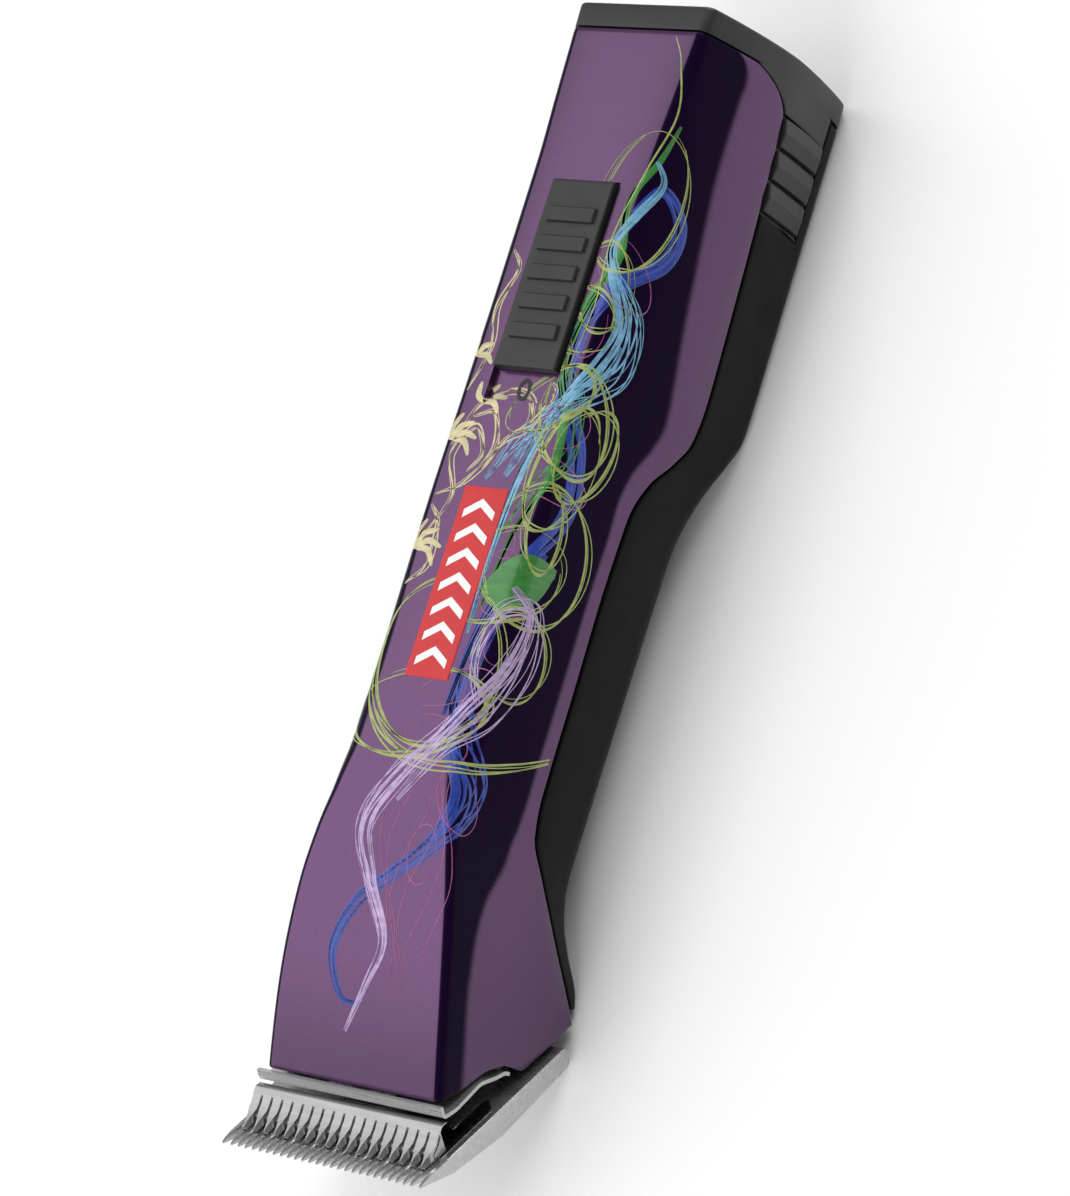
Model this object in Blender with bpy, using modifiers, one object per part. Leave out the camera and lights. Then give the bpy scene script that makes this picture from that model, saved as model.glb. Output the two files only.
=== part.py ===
"""Cordless pet clipper with a detachable blade set, a slide-out battery pack and a crank drive.

The clipper lies on its back: +Z is the decorated face, -Y the blade end, +Y the battery end.
All lengths below are millimetres; MM turns them into Blender's metres.
"""
import math

import bmesh
import bpy
from mathutils import Vector

MM = 0.001
GAP = 0.3
SEAM_GAP = 0.7

# Housing outline: pairs of (place along Y, value), joined by a smooth monotone curve.
FACE_HEIGHT = 44.6
FACE_DROP = 15.1
FACE_DROP_START = -38.0
FACE_DROP_LENGTH = 60.0
FACE_DROP_POWER = 1.6
FACE_HALF_WIDTH = ((-98, 21.2), (-82, 20.4), (-64, 18.5), (-54, 16.6), (-45, 14.8), (-36, 14.0),
                   (-24, 14.0), (0, 14.0), (20, 13.8), (40, 13.7), (80, 14.1), (95, 14.9),
                   (114, 15.9))
SIDE_HALF_WIDTH = ((-98, 21.5), (-73, 23.0), (-60, 21.2), (-45, 19.3), (-20, 19.0), (15, 19.4),
                   (30, 20.9), (42, 22.2), (60, 22.3), (114, 22.1))
BACK_HALF_WIDTH = ((-73, 22.6), (-66, 20.8), (-58, 18.8), (-48, 17.2), (15, 17.2), (28, 18.6),
                   (44, 20.6), (80, 20.0), (114, 19.4))
WIDEST_HEIGHT = ((-98, 16.0), (-73, 10.0), (-50, 20.0), (-20, 23.0), (18, 23.0), (40, 21.0),
                 (114, 21.5))
BACK_HEIGHT = ((-73.8, 0.0), (-69, 0.0), (-62, 3.2), (-56, 5.5), (-50, 6.0), (16, 6.0),
               (20, 5.9), (25.6, 5.3), (31.5, 3.8), (38, 1.6), (43, 0.1), (46, 0.0), (114, 0.0))
SEAM_HEIGHT = ((-73.8, 0.5), (-66, 7.2), (-60, 11.9), (-52, 18.3), (-45, 23.3), (-38, 24.5),
               (-16, 25.0), (6, 25.7), (18, 25.6), (25, 23.8), (31, 19.6), (36, 17.2),
               (42, 17.0), (57, 17.8), (83, 19.6), (102, 21.4), (105, 23.6), (107.4, 27.6),
               (108.6, 31.5))
CREASE_RADIUS = ((-98, 1.8), (-64, 1.8), (-54, 2.0), (-45, 3.0), (-36, 4.2), (-20, 3.9),
                 (0, 2.8), (20, 1.8), (114, 1.8))
BACK_RADIUS = ((-73, 1.6), (-48, 4.5), (18, 4.5), (44, 3.0), (114, 3.0))
FRONT_SIDE_POWER = 1.5
REAR_SIDE_POWER = 1.8
WALL = 1.9
SHELL_END = 108.6
CAP_END = 114.0
CAP_CHAMFER = 0.7

# Rim of the head, from the front face back to the heel, in the blade set's own axes.
RIM_PATH = ((13.2, 9.0), (18.8, 7.8), (26.2, 7.3), (30.9, 5.6), (34.7, 1.8), (50.4, 1.6))
RIM_STEPS = (0.0, 0.07, 0.14, 0.23, 0.325, 0.385, 0.45, 0.52, 0.585, 0.72, 0.86)
HEAD_BLEND_END = -38.0
RIM_LEAN = 0.8

# Blade set: its own axes start at the middle of the comb's teeth tips.
BLADE_ORIGIN = (-114.0, 31.0)
BLADE_ANGLE = math.radians(-39.3)
COMB_HALF_WIDTH = 24.5
COMB_TEETH = 28
COMB_TOOTH_LENGTH = 8.6
COMB_SLOT_WIDTH = 0.75
CUTTER_HALF_WIDTH = 22.9
CUTTER_TEETH = 18
CUTTER_TOOTH_END = 9.8
CUTTER_TOOTH_START = 3.0
CUTTER_SLOT_WIDTH = 0.9
HINGE_PLACE = (46.0, 2.4)

# Drive: motor, crank and lever share the height of the motor's axis.
AXIS_HEIGHT = 25.5
MOTOR_RADIUS = 13.5
MOTOR_FRONT = -38.0
MOTOR_BACK = 0.0
CRANK_THROW = 1.0
CRANK_PIN_RADIUS = 1.0
LEVER_PIVOT_Y = -68.0
LEVER_FORK_Y = -48.0
LEVER_TIP_Y = -93.5
FINGER_ALONG = 19.5

# Slide switch in its recess.
SLIDER_HALF_WIDTH = 7.4
SLIDER_START = 38.2
SLIDER_END = 76.5
SLIDER_TRAVEL = 5.8
SLIDER_RIBS = 5
RECESS_DEPTH = 1.2

# Battery pack and its two latch buttons.
PAD_START = 83.0
PAD_END = 102.4
PAD_LOW = 5.2
PAD_WALL = 1.1
CELL_RADIUS = 9.15
CELL_LENGTH = 64.6
CELL_START = 42.6
SCREW_PLACES = ((-9.5, -50.0), (9.5, -50.0), (-9.5, 14.0), (9.5, 14.0))

for old in list(bpy.data.objects):
    bpy.data.objects.remove(old, do_unlink=True)

PARTS = bpy.data.collections.new("pet_clipper")
CUTTERS = bpy.data.collections.new("cutters")
bpy.context.scene.collection.children.link(PARTS)
bpy.context.scene.collection.children.link(CUTTERS)


# ---------------------------------------------------------------- helpers

def smooth_value(points, place):
    """Value at a place on a monotone cubic curve through the points."""
    xs = [p[0] for p in points]
    ys = [p[1] for p in points]
    if place <= xs[0]:
        return ys[0]
    if place >= xs[-1]:
        return ys[-1]
    slopes = [(ys[i + 1] - ys[i]) / (xs[i + 1] - xs[i]) for i in range(len(xs) - 1)]
    tangents = [slopes[0]]
    for before, after in zip(slopes[:-1], slopes[1:]):
        same_way = before * after > 0
        tangents.append(2 * before * after / (before + after) if same_way else 0.0)
    tangents.append(slopes[-1])
    i = max(k for k in range(len(xs) - 1) if xs[k] <= place)
    h = xs[i + 1] - xs[i]
    t = (place - xs[i]) / h
    rise = ys[i] * (2 * t ** 3 - 3 * t ** 2 + 1) + ys[i + 1] * (3 * t ** 2 - 2 * t ** 3)
    bend = tangents[i] * (t ** 3 - 2 * t ** 2 + t) + tangents[i + 1] * (t ** 3 - t ** 2)
    return rise + h * bend


def material(name, colour, roughness, metallic):
    """A Principled material with its own colour, roughness and metallic value."""
    mat = bpy.data.materials.new(name)
    mat.use_nodes = True
    shader = mat.node_tree.nodes["Principled BSDF"]
    shader.inputs["Base Color"].default_value = (*colour, 1.0)
    shader.inputs["Roughness"].default_value = roughness
    shader.inputs["Metallic"].default_value = metallic
    mat.diffuse_color = (*colour, 1.0)
    return mat


LACQUER = ((0.16, 0.07, 0.24), 0.18, 0.55)
BLACK_PLASTIC = ((0.035, 0.036, 0.037), 0.5, 0.0)
GREY_PLASTIC = ((0.06, 0.06, 0.06), 0.45, 0.0)
STEEL = ((0.72, 0.72, 0.7), 0.2, 1.0)
DARK_STEEL = ((0.16, 0.16, 0.17), 0.4, 1.0)
BRASS = ((0.75, 0.55, 0.25), 0.3, 1.0)
WHITE_PLASTIC = ((0.75, 0.74, 0.7), 0.5, 0.0)
BOARD_GREEN = ((0.03, 0.2, 0.08), 0.5, 0.0)
CELL_BLUE = ((0.05, 0.2, 0.4), 0.4, 0.0)


def add_object(name, mesh, look, parent=None, cutter=False):
    """Link a mesh as a named part with its material, or as a hidden cutter."""
    obj = bpy.data.objects.new(name, mesh)
    if cutter:
        CUTTERS.objects.link(obj)
        obj.hide_render = True
        obj.display_type = "WIRE"
    else:
        PARTS.objects.link(obj)
        mesh.materials.append(material(name, *look))
    obj.parent = parent
    return obj


def cut(obj, tool, operation="DIFFERENCE"):
    """Boolean another object into this one."""
    modifier = obj.modifiers.new(tool.name, "BOOLEAN")
    modifier.operation = operation
    modifier.object = tool
    modifier.solver = "EXACT"


def box_mesh(name, low, high):
    """A box between two corners."""
    mesh = bpy.data.meshes.new(name)
    bm = bmesh.new()
    bmesh.ops.create_cube(bm, size=1.0)
    size = [(b - a) * MM for a, b in zip(low, high)]
    centre = [(a + b) / 2 * MM for a, b in zip(low, high)]
    bmesh.ops.scale(bm, vec=size, verts=bm.verts)
    bmesh.ops.translate(bm, vec=centre, verts=bm.verts)
    bm.to_mesh(mesh)
    bm.free()
    return mesh


def box(name, low, high, look=None, parent=None, cutter=False):
    """A box part or cutter between two corners of its parent's axes."""
    return add_object(name, box_mesh(name, low, high), look, parent, cutter)


def rod_mesh(name, radius, start, end, sides=24):
    """A cylinder between two points, with flat caps."""
    mesh = bpy.data.meshes.new(name)
    bm = bmesh.new()
    start = Vector(start) * MM
    end = Vector(end) * MM
    along = end - start
    bmesh.ops.create_cone(bm, cap_ends=True, segments=sides, radius1=radius * MM,
                          radius2=radius * MM, depth=along.length)
    turn = Vector((0, 0, 1)).rotation_difference(along.normalized()).to_matrix()
    bmesh.ops.rotate(bm, matrix=turn, verts=bm.verts)
    bmesh.ops.translate(bm, vec=(start + end) / 2, verts=bm.verts)
    bm.to_mesh(mesh)
    bm.free()
    mesh.shade_smooth()
    mesh.set_sharp_from_angle(angle=math.radians(40))
    return mesh


def rod(name, radius, start, end, look=None, parent=None, cutter=False, sides=24):
    """A cylinder part or cutter between two points."""
    return add_object(name, rod_mesh(name, radius, start, end, sides), look, parent, cutter)


def turned(name, profile, look, place, sides=32):
    """A turned part about the Y axis: profile pairs are (radius, distance along Y)."""
    mesh = bpy.data.meshes.new(name)
    points = [(radius * MM, 0.0, along * MM) for radius, along in profile]
    closed = profile[0][0] > 0 and profile[-1][0] > 0
    edges = [(i, i + 1) for i in range(len(points) - 1)]
    if closed:
        edges.append((len(points) - 1, 0))
    mesh.from_pydata(points, edges, [])
    obj = add_object(name, mesh, look)
    screw = obj.modifiers.new("turn", "SCREW")
    screw.angle = math.tau
    screw.steps = sides
    screw.render_steps = sides
    screw.use_merge_vertices = True
    screw.merge_threshold = 0.00001
    obj.rotation_euler = (-math.pi / 2, 0, 0)
    obj.location = Vector(place) * MM
    return obj


def prism(name, outline, low, high, plane, look=None, parent=None, cutter=False, holes=()):
    """A flat outline given thickness: plane "YZ" runs along X, "XZ" along Y, "XY" along Z."""
    curve = bpy.data.curves.new(name, "CURVE")
    curve.dimensions = "2D"
    curve.fill_mode = "BOTH"
    curve.extrude = (high - low) / 2 * MM
    for loop in (outline, *holes):
        spline = curve.splines.new("POLY")
        spline.points.add(len(loop) - 1)
        for point, (u, v) in zip(spline.points, loop):
            point.co = (u * MM, v * MM, 0.0, 1.0)
        spline.use_cyclic_u = True
    drawing = bpy.data.objects.new(name + "_outline", curve)
    CUTTERS.objects.link(drawing)
    bpy.context.view_layer.update()
    solid = drawing.evaluated_get(bpy.context.evaluated_depsgraph_get())
    mesh = bpy.data.meshes.new_from_object(solid)
    bpy.data.objects.remove(drawing)
    mesh.name = name
    bm = bmesh.new()
    bm.from_mesh(mesh)
    bmesh.ops.remove_doubles(bm, verts=bm.verts, dist=0.00001)
    middle = (low + high) / 2 * MM
    for vert in bm.verts:
        u, v, w = vert.co.x, vert.co.y, vert.co.z + middle
        if plane == "YZ":
            vert.co = (w, u, v)
        elif plane == "XZ":
            vert.co = (u, w, v)
        else:
            vert.co = (u, v, w)
    bmesh.ops.recalc_face_normals(bm, faces=bm.faces)
    bm.to_mesh(mesh)
    bm.free()
    return add_object(name, mesh, look, parent, cutter)


def loft_mesh(name, rings, closed_ring, caps):
    """Quads between rings of equal length, given as metres; caps close the two ends."""
    count = len(rings[0])
    points = [point for ring in rings for point in ring]
    span = count if closed_ring else count - 1
    faces = []
    for r in range(len(rings) - 1):
        for k in range(span):
            a = r * count + k
            b = r * count + (k + 1) % count
            faces.append((a, b, b + count, a + count))
    if caps:
        faces.append(tuple(reversed(range(count))))
        faces.append(tuple(range((len(rings) - 1) * count, len(rings) * count)))
    mesh = bpy.data.meshes.new(name)
    mesh.from_pydata([tuple(p) for p in points], [], faces)
    if caps:
        bm = bmesh.new()
        bm.from_mesh(mesh)
        bmesh.ops.recalc_face_normals(bm, faces=bm.faces)
        bm.to_mesh(mesh)
        bm.free()
    mesh.shade_smooth()
    mesh.set_sharp_from_angle(angle=math.radians(35))
    return mesh


def give_wall(obj, thickness):
    """Solidify an open surface inwards from its outer face."""
    modifier = obj.modifiers.new("wall", "SOLIDIFY")
    modifier.thickness = thickness * MM
    modifier.offset = -1.0
    modifier.use_even_offset = True
    modifier.use_quality_normals = True


# ---------------------------------------------------------------- housing surface

def face_height(y):
    """Height of the decorated face: level, then falling away along the head."""
    drop = max(0.0, FACE_DROP_START - y) / FACE_DROP_LENGTH
    return FACE_HEIGHT - FACE_DROP * drop ** FACE_DROP_POWER


def side_x(y, z):
    """Half width of the housing at a place: widest at one height, narrower to face and back."""
    widest = smooth_value(SIDE_HALF_WIDTH, y)
    middle = smooth_value(WIDEST_HEIGHT, y)
    if z >= middle:
        share = (z - middle) / (face_height(y) - middle)
        face = smooth_value(FACE_HALF_WIDTH, y)
        return widest - (widest - face) * min(share, 1.0) ** FRONT_SIDE_POWER
    share = (middle - z) / (middle - smooth_value(BACK_HEIGHT, y))
    back = smooth_value(BACK_HALF_WIDTH, y)
    return widest - (widest - back) * min(share, 1.0) ** REAR_SIDE_POWER


def corner_arc(start, corner, end, count):
    """Points of a parabola that rounds a corner, ends included."""
    points = []
    for i in range(count + 1):
        t = i / count
        weights = ((1 - t) ** 2, 2 * t * (1 - t), t ** 2)
        points.append(tuple(sum(w * p[k] for w, p in zip(weights, (start, corner, end)))
                            for k in range(3)))
    return points


def mirrored_ring(half):
    """Close a half section (from the edge at +X to the centre line) with its mirror image."""
    return half + [(-x, y, z) for x, y, z in reversed(half[:-1])]


def to_metres(ring):
    return [(x * MM, y * MM, z * MM) for x, y, z in ring]


def from_blade_axes(along, height):
    """Place (y, z) of a point given along and above the blade."""
    c = math.cos(BLADE_ANGLE)
    t = math.sin(BLADE_ANGLE)
    return (BLADE_ORIGIN[0] + c * along - t * height, BLADE_ORIGIN[1] + t * along + c * height)


RIM_POINTS = [from_blade_axes(*p) for p in RIM_PATH]
RIM_FRONT_Y = RIM_POINTS[0][0]
RIM_HEEL = RIM_POINTS[-1]


def rim_offset(share):
    """How far the rim stands from the straight line between its two ends, at a share of it."""
    steps = [math.dist(p, q) for p, q in zip(RIM_POINTS[:-1], RIM_POINTS[1:])]
    left = share * sum(steps)
    i = 0
    while left > steps[i] and i < len(steps) - 1:
        left -= steps[i]
        i += 1
    t = min(left / steps[i], 1.0)
    place = [p + t * (q - p) for p, q in zip(RIM_POINTS[i], RIM_POINTS[i + 1])]
    line = [p + share * (q - p) for p, q in zip(RIM_POINTS[0], RIM_POINTS[-1])]
    return (place[0] - line[0], place[1] - line[1])


def front_half_section(y_face, y_seam, z_seam, shares, arc_steps):
    """Points from the seam up the side, round the crease and in to the centre line."""
    top = face_height(y_face)
    radius = smooth_value(CREASE_RADIUS, y_face)
    half_face = smooth_value(FACE_HALF_WIDTH, y_face)
    turn_height = top - radius
    fade = max(0.0, (HEAD_BLEND_END - y_face) / (HEAD_BLEND_END - RIM_FRONT_Y)) ** 2
    first_height = turn_height + fade * radius
    side = []
    for share in reversed(shares[1:]):
        bow = rim_offset(share)
        y = y_face + (y_seam - y_face) * share + fade * bow[0]
        z = first_height + (z_seam - first_height) * share + fade * bow[1]
        side.append((side_x(y, z), y, z))
    y_turn = y_face + RIM_LEAN * fade * radius
    start = (side_x(y_turn, turn_height), y_turn, turn_height)
    arc = corner_arc(start, (half_face, y_face, top), (half_face - radius, y_face, top), arc_steps)
    return side + arc + [(0.0, y_face, top)]


def rear_half_section(y, z_seam, side_steps, arc_steps):
    """Points from the centre line of the back out round the corner and up to the seam."""
    bottom = smooth_value(BACK_HEIGHT, y)
    radius = min(smooth_value(BACK_RADIUS, y), 0.6 * (z_seam - bottom))
    half_back = smooth_value(BACK_HALF_WIDTH, y)
    turn_height = bottom + radius
    start = (side_x(y, turn_height), y, turn_height)
    arc = corner_arc(start, (half_back, y, bottom), (half_back - radius, y, bottom), arc_steps)
    side = []
    for i in range(side_steps):
        z = z_seam + (turn_height - z_seam) * i / side_steps
        side.append((side_x(y, z), y, z))
    return side + arc + [(0.0, y, bottom)]


def full_half_section(y, scale):
    """A whole half section at one place along Y, drawn in a little by scale."""
    seam = smooth_value(WIDEST_HEIGHT, y)
    front = front_half_section(y, y, seam, (0.0, 0.25, 0.5, 0.75, 1.0), 2)
    rear = rear_half_section(y, seam, 4, 2)
    half = [(0.0, y, smooth_value(BACK_HEIGHT, y))] + list(reversed(rear[:-1]))[:-1] + front
    middle = FACE_HEIGHT / 2
    return [(x * scale, py, middle + (z - middle) * scale) for x, py, z in half]


# ---------------------------------------------------------------- housing

HEAD_PLACES = (RIM_FRONT_Y, -93, -87, -80, -72, -64, -57, -50, -44, -38)
BODY_PLACES = (-30, -20, -8, 4, 12, 18, 22, 26, 30, 34, 38, 43, 50, 58, 68, 78, 88, 96, 101,
               103.5, 105.5, 107.2, 108.6)
REAR_END = 108.3


def seam_place(y_face):
    """Where a head station meets the seam: the rim's heel for the first, level for the last."""
    if y_face >= HEAD_BLEND_END:
        return y_face
    share = (y_face - RIM_FRONT_Y) / (HEAD_BLEND_END - RIM_FRONT_Y)
    return RIM_HEEL[0] + share * (HEAD_BLEND_END - RIM_HEEL[0])


def screw_bosses():
    """Four pillars that the case screws bite into, standing down from the front shell."""
    tools = []
    for i, (x, y) in enumerate(SCREW_PLACES):
        top = face_height(y) - WALL / 2
        pillar = rod("boss_tool_%d" % i, 3.2, (x, y, 10.2), (x, y, top), cutter=True, sides=16)
        bore = rod("boss_bore_%d" % i, 1.7, (x, y, 9.0), (x, y, 22.0), cutter=True, sides=16)
        tools.append((pillar, bore))
    return tools


def make_front_shell():
    """Lacquered front half: face and sides down to the seam, rim arches and slider recess."""
    rings = []
    for y in HEAD_PLACES + BODY_PLACES:
        y_seam = seam_place(y)
        z_seam = smooth_value(SEAM_HEIGHT, y_seam) + SEAM_GAP / 2
        ring = mirrored_ring(front_half_section(y, y_seam, z_seam, (*RIM_STEPS, 1.0), 2))
        rings.append(to_metres(reversed(ring)))
    shell = add_object("front_shell", loft_mesh("front_shell", rings, False, False), LACQUER)
    give_wall(shell, WALL)
    low_floor = FACE_HEIGHT - RECESS_DEPTH
    half_recess = SLIDER_HALF_WIDTH + 0.45
    recess = box("recess_tool", (-half_recess, SLIDER_START - SLIDER_TRAVEL - 0.5, low_floor),
                 (half_recess, SLIDER_END + 0.4, FACE_HEIGHT + 3), cutter=True)
    slot = box("slot_tool", (-3.0, 43.6, FACE_HEIGHT - 6), (3.0, 62.6, FACE_HEIGHT + 3), cutter=True)
    for pillar, bore in screw_bosses():
        cut(shell, pillar, "UNION")
        cut(shell, bore)
    for tool in (recess, slot):
        cut(shell, tool)
    return shell


def make_rear_shell():
    """Black rear half with the notch for the battery pack's latch buttons and screw wells."""
    rings = []
    head = [seam_place(y) for y in HEAD_PLACES[1:]]
    body = [y for y in BODY_PLACES if y < PAD_END]
    for y in (*head, *body, REAR_END):
        z_seam = smooth_value(SEAM_HEIGHT, y) - SEAM_GAP / 2
        rings.append(to_metres(mirrored_ring(rear_half_section(y, z_seam, 5, 2))))
    shell = add_object("rear_shell", loft_mesh("rear_shell", rings, False, False), BLACK_PLASTIC)
    give_wall(shell, WALL)
    notch = box("notch_tool", (-40, PAD_START - GAP, PAD_LOW - GAP), (40, CAP_END, 40), cutter=True)
    cut(shell, notch)
    for i, (x, y) in enumerate(SCREW_PLACES):
        well = rod("well_tool_%d" % i, 2.6, (x, y, 2.0), (x, y, 12.0), cutter=True, sides=16)
        cut(shell, well)
    return shell


def make_case_screws():
    """Four pan-head screws up through the rear shell into the front shell's pillars."""
    names = ("case_screw_head_left", "case_screw_head_right", "case_screw_tail_left",
             "case_screw_tail_right")
    for name, (x, y) in zip(names, SCREW_PLACES):
        head = rod(name, 2.2, (x, y, 7.2), (x, y, 8.8), DARK_STEEL, sides=16)
        shank = rod(name + "_shank", 1.3, (x, y, 8.0), (x, y, 20.0), cutter=True, sides=12)
        drive = box(name + "_drive", (x - 1.5, y - 0.3, 6.0), (x + 1.5, y + 0.3, 7.8), cutter=True)
        cut(head, shank, "UNION")
        cut(head, drive)


# ---------------------------------------------------------------- battery pack

def side_patch(name, y_places, z_low, z_high, proud, thickness, look, sign, cutter=False):
    """A plate that follows the housing's side; proud lifts it at each place along Y."""
    rings = []
    for y, lift in zip(y_places, proud):
        top = z_high(y)
        heights = [z_low + (top - z_low) * i / 4 for i in range(5)]
        ring = [(sign * (side_x(y, z) + lift), y, z) for z in heights]
        rings.append(to_metres(ring[::-sign]))
    obj = add_object(name, loft_mesh(name, rings, False, False), look, None, cutter)
    give_wall(obj, thickness)
    return obj


def cheek_top(y):
    """Top edge of the cap's cheek, just under the front shell's rounded corner."""
    return smooth_value(SEAM_HEIGHT, y) - GAP


def make_battery_cap():
    """End cap: a slab across the whole section with a cheek down each side."""
    rings = []
    for y, scale in ((SHELL_END + GAP, 1.0), (CAP_END - CAP_CHAMFER, 1.0), (CAP_END, 0.965)):
        half = full_half_section(min(y, CAP_END), scale)
        ring = half + [(-x, py, z) for x, py, z in reversed(half[1:-1])]
        rings.append(to_metres(ring))
    cap = add_object("battery_cap", loft_mesh("battery_cap", rings, True, True), BLACK_PLASTIC)
    places = (PAD_END + GAP, 104.2, 105.8, 107.2, 108.4, 110.5)
    for sign, side in ((-1, "left"), (1, "right")):
        cheek = side_patch("cheek_tool_" + side, places, PAD_LOW, cheek_top, [-0.02] * len(places),
                           2.4, None, sign, cutter=True)
        cut(cap, cheek, "UNION")
    return cap


def pad_profile():
    """Places and lifts of the three ridges: each rises slowly and drops into a groove."""
    places = []
    lifts = []
    pitch = (PAD_END - PAD_START) / 3
    for i in range(3):
        start = PAD_START + i * pitch
        for share, lift in ((0.0, -0.5), (0.08, 0.0), (0.5, 0.45), (0.92, 0.05)):
            places.append(start + share * pitch)
            lifts.append(lift)
    places.append(PAD_END)
    lifts.append(-0.5)
    return places, lifts


def make_latch_buttons():
    """Ridged squeeze buttons, one on each side of the pack, with a leaf spring behind."""
    places, lifts = pad_profile()
    for sign, side in ((-1, "left"), (1, "right")):
        side_patch("latch_button_" + side, places, PAD_LOW, cheek_top, lifts, PAD_WALL, GREY_PLASTIC,
                   sign)
        low, high = sorted((sign * 18.75, sign * 19.15))
        box("latch_spring_" + side, (low, 86.0, 17.6), (high, 99.0, 19.6), STEEL)


def make_battery_inside():
    """Tray, two cells and the pack's terminals."""
    outline = ((40.6, 3.9), (108.4, 3.9), (108.4, 24.0), (107.6, 24.0), (107.6, 5.1),
               (42.2, 5.1), (42.2, 26.0), (40.6, 26.0))
    tray = prism("battery_tray", outline, -16.5, 16.5, "YZ", GREY_PLASTIC)
    for sign, side in ((-1, "left"), (1, "right")):
        x = sign * (CELL_RADIUS + 0.25)
        z = 5.1 + GAP + CELL_RADIUS
        rod("battery_cell_" + side, CELL_RADIUS, (x, CELL_START, z), (x, CELL_START + CELL_LENGTH, z),
            CELL_BLUE, sides=32)
        window = box("window_tool_" + side, (x - 3, 39, z - 3), (x + 3, 43, z + 3), cutter=True)
        cut(tray, window)
        box("battery_terminal_" + side, (x - 2.6, 40.9, z - 2.6), (x + 2.6, 41.9, z + 2.6), BRASS)


# ---------------------------------------------------------------- switch and electronics

def make_power_slider():
    """Thumb slider with five ribs and the stem that reaches the switch."""
    base = FACE_HEIGHT - RECESS_DEPTH + GAP
    top = FACE_HEIGHT + 1.3
    slider = box("power_slider", (-SLIDER_HALF_WIDTH, SLIDER_START, base),
                 (SLIDER_HALF_WIDTH, SLIDER_END, top), GREY_PLASTIC)
    bevel = slider.modifiers.new("soft_edges", "BEVEL")
    bevel.width = 0.35 * MM
    bevel.segments = 1
    pitch = 5.95
    first = (SLIDER_START + SLIDER_END) / 2 - pitch * (SLIDER_RIBS - 1) / 2
    for i in range(SLIDER_RIBS):
        y = first + i * pitch
        outline = ((y - 1.65, top - 0.2), (y + 1.65, top - 0.2), (y + 1.45, top + 0.7),
                   (y - 1.25, top + 0.7))
        rib = prism("rib_tool_%d" % i, outline, -SLIDER_HALF_WIDTH + 1.9,
                    SLIDER_HALF_WIDTH - 1.9, "YZ", cutter=True)
        cut(slider, rib, "UNION")
    stem = box("stem_tool", (-2.4, 50.0, 41.2), (2.4, 62.0, base + 0.5), cutter=True)
    cut(slider, stem, "UNION")


def make_electronics():
    """Control board, slide switch under the slider, and the terminals that meet the pack."""
    box("control_board", (-10.5, 18.5, 34.6), (10.5, 78.0, 36.2), BOARD_GREEN)
    box("slide_switch", (-4.2, 46.0, 36.5), (4.2, 60.0, 40.7), GREY_PLASTIC)
    box("terminal_block", (-14.0, 34.0, 9.5), (14.0, 37.6, 24.0), BLACK_PLASTIC)
    for sign, side in ((-1, "left"), (1, "right")):
        x = sign * (CELL_RADIUS + 0.25)
        z = 5.1 + GAP + CELL_RADIUS
        outline = ((37.9, z - 3.0), (38.5, z - 3.0), (38.5, z - 1.6), (40.5, z), (38.5, z + 1.6),
                   (38.5, z + 3.0), (37.9, z + 3.0))
        prism("contact_spring_" + side, outline, x - 2.0, x + 2.0, "YZ", BRASS)


# ---------------------------------------------------------------- motor and drive

def make_motor():
    """Can, end cap, rotor with its shaft, and the crank disc on the shaft."""
    length = MOTOR_BACK - MOTOR_FRONT
    inner = MOTOR_RADIUS - 1.0
    can = ((MOTOR_RADIUS, length), (MOTOR_RADIUS, 0.0), (1.4, 0.0), (1.4, 1.5), (inner, 1.5),
           (inner, length))
    turned("motor_can", can, DARK_STEEL, (0, MOTOR_FRONT, AXIS_HEIGHT))
    end = ((MOTOR_RADIUS - 0.6, 5.0), (MOTOR_RADIUS - 0.6, 0.0), (1.4, 0.0), (1.4, 5.0))
    turned("motor_end_cap", end, WHITE_PLASTIC, (0, MOTOR_BACK + GAP, AXIS_HEIGHT))
    rotor = ((0.0, length + 7.0), (1.1, length + 7.0), (1.1, length - 4.0), (10.2, length - 4.0),
             (10.2, 5.0), (1.1, 5.0), (1.1, -2.6), (0.0, -2.6))
    turned("motor_rotor", rotor, DARK_STEEL, (0, MOTOR_FRONT, AXIS_HEIGHT))
    disc_back = MOTOR_FRONT - 2.9
    crank = rod("crank_disc", 4.0, (0, disc_back - 3.0, AXIS_HEIGHT), (0, disc_back, AXIS_HEIGHT),
                STEEL)
    pin = rod("crank_pin_tool", CRANK_PIN_RADIUS,
              (0, LEVER_FORK_Y - 3.0, AXIS_HEIGHT + CRANK_THROW),
              (0, disc_back - 1.0, AXIS_HEIGHT + CRANK_THROW), cutter=True, sides=16)
    cut(crank, pin, "UNION")


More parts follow.
